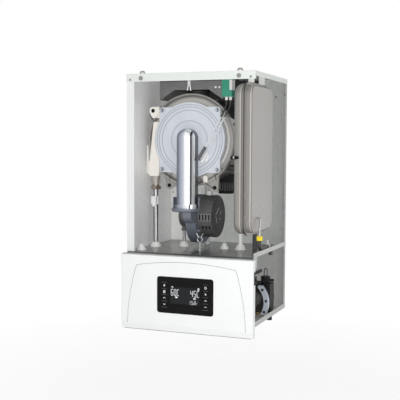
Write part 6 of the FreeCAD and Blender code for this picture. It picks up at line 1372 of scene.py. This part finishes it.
@dataclass
class BurnerGroup(Assembly):
    """Heat exchanger, burner door, mixing duct and ignition."""

    nut_front: float = -239.0
    nut_shadow_reach: float = 6.0
    lug: float = 89.5
    boot_split: float = -244.8
    hood_front: float = -216.0
    screw_height: float = 694.3
    screws: Pair = (38.0, 50.0)
    ear_front: float = -217.0
    ears: Tuple[Pair, ...] = ((154.5, 144.6), (156.0, 243.2), (164.0, 298.6), (150.0, 18.0))
    rod: float = 1.2
    pad_place: Triple = (7.0, -211.2, 418.0)

    def finishes(self) -> Dict[str, Finish]:
        """Finish of each node of the burner.

        Returns:
            The finishes, by node name.
        """
        # painted shadow on the drum's upper right, behind the hood
        pad = Zone((-10.0, -205.0, 585.0), (140.0, 0.0, 700.0), Palette.painted_shadow_black)
        # painted shadow and highlight on the ring's right side, seen past the door's edge
        side = Zone((22.0, -230.0, 452.0), (110.0, -190.0, 620.0), Palette.ring_side_shade_and_highlight)
        ear = Zone((-190.0, -230.0, 604.0), (-146.0, -200.0, 650.0), Palette.manifold_cream)
        nozzle = Zone((-200.0, -240.0, 370.0), (-130.0, -160.0, 425.2), Palette.nozzle_beige)
        pale = Zone((-60.0, self.boot_split, 400.0), (60.0, -200.0, 600.0), Palette.ceramic)
        sleeve = Zone((-60.0, -330.0, 604.0), (130.0, -100.0, 670.0), Palette.hose_black)
        terminals = Zone((50.0, -240.0, 640.0), (120.0, -180.0, 664.05), Palette.sensor_white)
        stripe = Zone((86.0, -240.0, 684.0), (96.0, -190.0, 714.0), Palette.sensor_white)
        # painted shadow under the top tray
        seal = Zone((-200.0, -230.0, 714.0), (100.0, -60.0, 735.0), Palette.painted_shadow_black)
        # painted shade on the hood's underside
        under = Zone((-98.0, -214.5, 560.0), (120.0, 0.0, 735.0), Palette.painted_shadow_black)
        return {
            "exchanger_shell": ZonedFinish.over("drum steel under a dark pad", Palette.drum_steel, pad),
            "exchanger_ring": ZonedFinish.over("turned ring with a pale ear", Palette.ring_steel, side, ear),
            "exchanger_coil": Palette.drum_steel,
            "burner_door": Palette.door_alloy,
            "door_insulation": Palette.fibre,
            "burner_tube": Palette.ring_steel,
            "flow_manifold": ZonedFinish.over("cream manifold with a beige nozzle", Palette.manifold_cream,
                                              nozzle),
            "flow_sensor": Palette.sensor_white,
            "mix_duct": Palette.duct_chrome,
            "ignition_electrode": ZonedFinish.over("grey boot on white ceramic", Palette.boot_grey, pale),
            "ignition_leads": ZonedFinish.over("white leads with dark sleeves", Palette.lead_white, sleeve),
            "ignition_transformer": ZonedFinish.over("transformer with white ends", Palette.transformer_teal,
                                                     terminals, stripe, flat=tone(44, 132, 108)),
            "flue_hood": ZonedFinish.over("hood zinc with a dark inside", Palette.hood_grey, seal, under,
                                          flat=tone(140, 139, 139)),
            "flue_socket": Palette.bright_zinc}

    def nut_rims(self) -> None:
        """Draw the painted shadow, a dark crescent on the right of each door nut."""
        rim = [polar((0.0, 0.0), self.nut_shadow_reach, -70.0 + 14.0 * step) for step in range(11)]
        nuts = [(DRUM_CENTRE[0] + east * self.lug, self.nut_front, DRUM_CENTRE[1] + north * self.lug)
                for east in (-1, 1) for north in (-1, 1)]
        # painted shadow crescents on the door nuts
        pen = Pen(1.8, 0.3, Palette.socket_dark, "zinc")
        pen.draw("nut_rims", [rim], [Facing.FRONT.at(nut) for nut in nuts])

    def ear_bushings(self) -> None:
        """Set a black bushing in the hole of each mounting ear."""
        profile = [(0.0, -3.0), (4.0, -3.0), (4.0, 0.0), (6.2, 0.0), (5.6, 1.0), (2.6, 1.2), (2.0, -0.6),
                   (0.0, -0.6)]
        holes = [polar(DRUM_CENTRE, reach, turn) for reach, turn in self.ears]
        fasten("ear_bushings", profile, 20, [(x, self.ear_front, z) for x, z in holes], Palette.trim_black,
               "black_plastic")

    def clamp_rods(self) -> None:
        """Lay the thin dark clamp rods that cross the ears."""
        ends = (((-178.6, 616.3), (-154.8, 580.0)), ((-14.6, 421.0), (34.2, 388.6)),
                ((37.2, 433.9), (42.0, 416.0)), ((-105.0, 434.0), (-111.0, 415.0)))
        front = self.ear_front - 1.0
        shape = Shape()
        for (x0, z0), (x1, z1) in ends:
            shape.rod((x0, front, z0), (x1, front, z1), self.rod, 8)
        shape.seat("clamp_rods", Palette.socket_dark, "zinc")

    def build(self) -> None:
        """Make the painted nut shadows, bushings, rods, the pale pad on the ring and the hood's two screws.
        """
        self.nut_rims()
        self.ear_bushings()
        self.clamp_rods()
        outline = [(-7.0, -10.0), (7.0, -10.0), (7.0, 7.0), (3.0, 10.0), (-7.0, 10.0)]
        pad = Shape().slab(outline, 8.0, Facing.FRONT.at(self.pad_place)).rounded(1.2)
        pad.seat("ring_pad", Palette.manifold_cream, "white_plastic")
        profile = [(0.0, -0.6), (3.2, -0.6), (3.2, 0.9), (2.2, 1.6), (1.0, 1.6), (0.8, 1.0), (0.0, 1.0)]
        places = [(x, self.hood_front, self.screw_height) for x in self.screws]
        fasten("hood_screws", profile, 20, places, Palette.sensor_white, "zinc")


@dataclass
class FanGroup(Assembly):
    """Premix fan with its scroll, motor and gas mixer."""

    axis: Pair = (-150.0, 301.0)
    motor_left: float = -19.5
    motor_right: float = 25.5
    motor_reach: float = 65.3
    window_row: float = 30.0
    louvre_row: float = 22.0
    louvre_tilt: float = 30.0
    studs: int = 28
    box_middle: Pair = (19.0, 398.0)
    box_half: Pair = (27.0, 32.0)
    box_back: float = -1.1
    box_deep: float = 60.0
    box_cut: float = 12.0

    def finishes(self) -> Dict[str, Finish]:
        """Finish of each node of the fan.

        Returns:
            The finishes, by node name.
        """
        # painted shadow on the adapter's left flank
        shadow = Zone((-90.0, -300.0, 200.0), (-46.0, -160.0, 320.8), Palette.fan_grey)
        face = Zone((24.6, -230.0, 220.0), (30.0, -70.0, 380.0), Palette.fan_end)
        return {
            "fan_adapter": ZonedFinish.over("adapter casting with a dark flank", Palette.adapter_blue,
                                            shadow, flat=tone(104, 109, 120)),
            "fan_scroll": Palette.scroll_blue,
            "fan_motor": ZonedFinish.over("grey motor with a dark end", Palette.fan_grey, face),
            "fan_impeller": Palette.valve_grey,
            "gas_mixer": Palette.fan_grey}

    @staticmethod
    def _plate(half_width: float, low: float, high: float, depth: float) -> Shape:
        """Upright plate about the local Y axis."""
        corners = [(-half_width, low), (half_width, low), (half_width, high), (-half_width, high)]
        return Shape().slab(corners, depth)

    def windows(self) -> None:
        """Set a row of window frames with panes on the motor's barrel, and louvres below them."""
        middle = (self.motor_left + self.motor_right) / 2
        barrel = 0.9 - self.motor_reach
        place = Facing.FRONT.at((middle, self.axis[0] + barrel, self.axis[1]))
        outline = [(-3.6, -10.0), (3.6, -10.0), (3.6, 10.0), (-3.6, 10.0)]
        border = Shape().ribbon(outline, 1.6, 1.6, HERE, True)
        pane = self._plate(2.9, -9.3, 9.3, 1.0)
        row = {"Count": 4, "Width": self.window_row}
        GRID_TREE.repeat("motor_windows", border, Palette.fan_frame, "black_plastic", place, **row)
        GRID_TREE.repeat("motor_panes", pane, Palette.fan_dark, "black_plastic", place, **row)
        louvre = Shape().slab([(-4.2, 6.0), (0.0, -7.0), (4.2, 6.0)], 1.8)
        tilt = Matrix.Rotation(math.radians(self.louvre_tilt), 4, "X")
        below = Facing.FRONT.at((0.0, barrel, 0.0))
        lower = Matrix.Translation((middle + 4.0, *self.axis)) @ tilt @ below
        GRID_TREE.repeat("motor_louvres", louvre, Palette.fan_dark, "black_plastic", lower, Count=3,
                         Width=self.louvre_row, Seed=2)

    def wiring_box(self) -> None:
        """Hang the dark ribbed box on the back panel behind the motor, and plug the motor in."""
        (x, z), (half, rise), cut = self.box_middle, self.box_half, self.box_cut
        outline = [(-half, -rise), (half - cut, -rise), (half, cut - rise), (half, rise), (-half, rise)]
        body = Shape().slab(outline, self.box_deep, Facing.FRONT.at((x, self.box_back, z))).rounded(2.5)
        body.seat("wiring_box", Palette.fan_dark, "black_plastic")
        rib = self._plate(1.6, -rise * 0.5, rise * 0.3, 2.4)
        front = Facing.FRONT.at((x, self.box_back - self.box_deep, z - rise * 0.2))
        GRID_TREE.repeat("wiring_box_ribs", rib, Palette.fan_grey, "black_plastic", front, Count=6,
                         Width=half * 1.48, Seed=4, Uneven=0.06)
        top = Facing.UP.at((-4.0, self.axis[0], self.axis[1] + self.motor_reach - 1.0))
        plug = Shape().slab([(-6.0, -7.0), (6.0, -7.0), (6.0, 7.0), (-6.0, 7.0)], 13.0, top).rounded(1.4)
        plug.seat("motor_plug", Palette.sensor_white, "white_plastic")

    def build(self) -> None:
        """Make windows, box, the studs round the barrel and the moulded lines on the motor's end."""
        self.windows()
        self.wiring_box()
        stud = Shape().turned([(0.0, -0.5), (1.7, -0.5), (1.5, 0.8), (0.9, 1.1), (0.0, 1.1)], 10,
                              Matrix.Rotation(math.radians(90.0), 4, "Y"))
        rim = Facing.RIGHT.at((self.motor_right - 6.0, *self.axis))
        RING_TREE.repeat("rim_studs", stud, Palette.fan_dark, "black_plastic", rim, Count=self.studs,
                         Reach=self.motor_reach)
        lines = [[(4.0, 27.0), (-24.0, 6.0)], [(-24.0, 1.0), (-13.0, -20.0)], [(18.0, 15.0), (15.0, 5.0)],
                 [(8.0, -6.0), (12.0, -12.0)]]
        pen = Pen(2.2, 0.5, Palette.fan_mark, "black_plastic")
        pen.draw("end_marks", lines, [Facing.RIGHT.at((self.motor_right - 0.1, *self.axis))])


@dataclass
class ExpansionVessel(Assembly):
    """Flat steel expansion vessel with its charging valve."""

    cap_seat: Triple = (140.0, -305.0, 485.0)

    def finishes(self) -> Dict[str, Finish]:
        """Finish of each node of the vessel."""
        return {"vessel_left_shell": Palette.vessel_taupe, "vessel_right_shell": Palette.vessel_taupe,
                "vessel_diaphragm": Palette.diaphragm}

    def build(self) -> None:
        """Set the dark cap of the charging valve with its bright band on the left shell."""
        dark = [(0.0, -2.0), (3.6, -2.0), (3.6, 4.0), (5.0, 4.6), (5.0, 9.0), (3.4, 9.6), (3.4, 14.0),
                (5.0, 14.6), (5.0, 20.0), (4.2, 21.0), (0.0, 21.0)]
        bright = [(0.0, 9.7), (4.3, 9.9), (4.3, 13.7), (0.0, 13.9)]
        places = [self.cap_seat]
        fasten("charge_cap", dark, 18, places, Palette.trim_black, "black_plastic", Facing.LEFT)
        fasten("charge_band", bright, 18, places, Palette.clip_zinc, "zinc", Facing.LEFT)


@dataclass
class WaterGroup(Assembly):
    """Pump, valves, pipes and connections."""

    flange_centre: Pair = (117.0, 44.0)
    flange_front: float = -172.0
    screw_reach: float = 70.75
    screw_turns: Triple = (-23.5, 5.0, 34.0)

    def finishes(self) -> Dict[str, Finish]:
        """Finish of each node of the water group.

        Returns:
            The finishes, by node name.
        """
        white = Zone((90.0, -185.0, 140.0), (118.0, -150.0, 400.0), Palette.pipe_white)
        pale = Zone((-60.0, -90.0, 130.0), (-25.0, -50.0, 420.0), Palette.hose_pale)
        yellow = Zone((175.0, -265.0, 241.0), (205.0, -240.0, 258.0), Palette.ferrule_yellow)
        union = Zone((-190.0, -220.0, 378.0), (-140.0, -175.0, 402.0), Palette.nut_steel)
        valve = Zone((100.0, -280.0, 470.0), (128.0, -255.0, 500.0), Palette.trim_black)
        vent = Zone((155.0, -150.0, 100.05), (200.0, -110.0, 150.0), Palette.vent_black)
        return {
            "steel_pipes": ZonedFinish.over("steel pipes with a white one", Palette.pipe_steel, white),
            "copper_pipes": Palette.copper,
            "rubber_hoses": ZonedFinish.over("black hoses with a pale one", Palette.hose_black, pale),
            "pipe_fittings": ZonedFinish.over("brass fittings and a ferrule", Palette.brass, yellow, union,
                                              valve, flat=tone(196, 168, 104)),
            "pump_body": ZonedFinish.over("pump paint with a glossy vent", Palette.pump_black, vent),
            "pump_flange": Palette.pump_alloy,
            "pump_motor": Palette.pump_brown,
            "pump_impeller": Palette.trim_black,
            "drain_knob": Palette.trim_black,
            "diverter_valve": Palette.brass_block,
            "gas_valve": Palette.valve_grey,
            "plate_exchanger": Palette.pipe_steel,
            "condensate_trap": Palette.sensor_white}

    def build(self) -> None:
        """Set a dark socket screw in each recess of the pump flange."""
        profile = [(0.0, -6.0), (4.4, -6.0), (4.4, 0.2), (3.8, 0.8), (1.8, 0.8), (1.8, -1.2), (0.0, -1.2)]
        holes = [polar(self.flange_centre, self.screw_reach, turn) for turn in self.screw_turns]
        places = [(x, self.flange_front, z) for x, z in holes]
        fasten("flange_screws", profile, 18, places, Palette.socket_dark, "zinc")


@dataclass(frozen=True)
class Lamp:
    """Soft lamp in metres and watts; without a shadow it fills the open case evenly."""

    name: str
    place: Triple
    aim: Triple
    size: Pair
    power: float
    shadow: bool = False

    def hang(self) -> None:
        """Make the lamp and turn it to its aim."""
        data = bpy.data.lights.new(self.name, "AREA")
        data.shape = "RECTANGLE"
        data.size, data.size_y = self.size
        data.energy = self.power
        data.use_shadow = self.shadow
        holder = bpy.data.objects.new(self.name, data)
        turn = (Vector(self.aim) - Vector(self.place)).to_track_quat("-Z", "Y")
        holder.matrix_world = Matrix.Translation(self.place) @ turn.to_matrix().to_4x4()
        holder.visible_camera = False
        link(holder)


@dataclass
class Studio:
    """Camera, lamps, world and floor, in metres."""

    eye: Triple = (0.90056, -2.53767, 0.51375)
    heading: float = 21.43
    pitch: float = 3.66
    roll: float = 0.25
    sensor: float = 36.0
    focal_share: float = 821.8 / 400.0
    sight: float = 60.0
    floor: float = -0.32
    floor_half: float = 14.0
    floor_white: Pair = (0.86, 1.0)
    world_share: float = 0.45
    near: float = 0.5
    far: float = 1.5
    lamps: Tuple[Lamp, ...] = (
        Lamp("front lamp", (0.6, -2.6, 0.8), (0.0, -0.1, 0.42), (1.2, 1.2), 20.2),
        Lamp("side lamp", (2.0, -1.8, 0.7), (-0.1, -0.1, 0.4), (1.4, 1.6), 13.6),
        Lamp("top lamp", (0.0, -0.6, 2.4), (0.0, -0.2, 0.4), (1.6, 1.2), 5.0, True))

    def camera(self) -> None:
        """Set the camera at the photograph's place."""
        data = bpy.data.cameras.new("studio camera")
        data.sensor_width = self.sensor
        data.sensor_fit = "HORIZONTAL"
        data.lens = self.sensor * self.focal_share
        data.clip_end = self.sight
        turn, dip, lean = (math.radians(angle) for angle in (self.heading, self.pitch, self.roll))
        ahead = Vector((-math.sin(turn) * math.cos(dip), math.cos(turn) * math.cos(dip), -math.sin(dip)))
        right = Vector((math.cos(turn), math.sin(turn), 0.0))
        up = right.cross(ahead)
        right, up = (right * math.cos(lean) + up * math.sin(lean),
                     up * math.cos(lean) - right * math.sin(lean))
        holder = bpy.data.objects.new("studio camera", data)
        axes = Matrix((right, up, -ahead)).transposed().to_4x4()
        holder.matrix_world = Matrix.Translation(self.eye) @ axes
        link(holder)
        bpy.context.scene.camera = holder

    @staticmethod
    def _seen(graph: Graph) -> Signal:
        """Mask of the rays that look at the scene.

        Args:
            graph: Tree to build in.

        Returns:
            One for camera, glossy and transmission rays.
        """
        rays = graph.siblings(graph.node("ShaderNodeLightPath"))
        total = rays["Is Camera Ray"] + rays["Is Glossy Ray"] + rays["Is Transmission Ray"]
        return graph.math("MINIMUM", total, 1.0)

    def world(self) -> None:
        """Make the world white to look at and softer as a light."""
        made = bpy.data.worlds.new("studio world")
        bpy.context.scene.world = made
        made.use_nodes = True
        graph = Graph(made.node_tree)
        strength = graph.laid(self._seen(graph), self.world_share, 1.0)
        sky = graph.node("ShaderNodeBackground", {}, {"Color": WHITE, "Strength": strength})
        graph.node("ShaderNodeOutputWorld", {}, {"Surface": sky})

    def ground(self) -> None:
        """Lay a pale floor that keeps a soft shadow."""
        mesh = bpy.data.meshes.new("studio floor")
        half = self.floor_half
        corners = [(-half, -half), (half, -half), (half, half), (-half, half)]
        mesh.from_pydata([(x, y, self.floor) for x, y in corners], [], [(0, 1, 2, 3)])
        made = bpy.data.materials.new("studio floor")
        made.use_nodes = True
        graph = Graph(made.node_tree)
        matt = graph.node("ShaderNodeBsdfDiffuse", {}, {"Color": tone(246, 246, 246)})
        white = graph.node("ShaderNodeEmission", {}, {"Color": WHITE})
        reach = graph.reach((0.0, 0.0), (0, 1))
        share = self._seen(graph) * graph.spread(reach, *self.floor_white, self.near, self.far)
        mixed = graph.node("ShaderNodeMixShader", {}, {0: share, 1: matt, 2: white})
        graph.node("ShaderNodeOutputMaterial", {}, {"Surface": mixed})
        mesh.materials.append(made)
        floor = bpy.data.objects.new("studio floor", mesh)
        link(floor)

    def build(self) -> None:
        """Set up the whole studio."""
        bpy.context.scene.view_settings.view_transform = "Standard"
        self.camera()
        self.world()
        self.ground()
        for lamp in self.lamps:
            lamp.hang()
        LOG.info("studio ready")


def write_sizes() -> None:
    LOG.info("sizes written")


def main() -> None:
    """Build every sub-assembly in order and report each piece."""
    logging.basicConfig(level=logging.INFO, format="%(name)s: %(message)s")
    Studio().build()
    for group in (Casing(), ControlPanel(), BurnerGroup(), FanGroup(), ExpansionVessel(), WaterGroup()):
        group.dress()
        group.build()
    write_sizes()


if __name__ == "__main__":
    main()
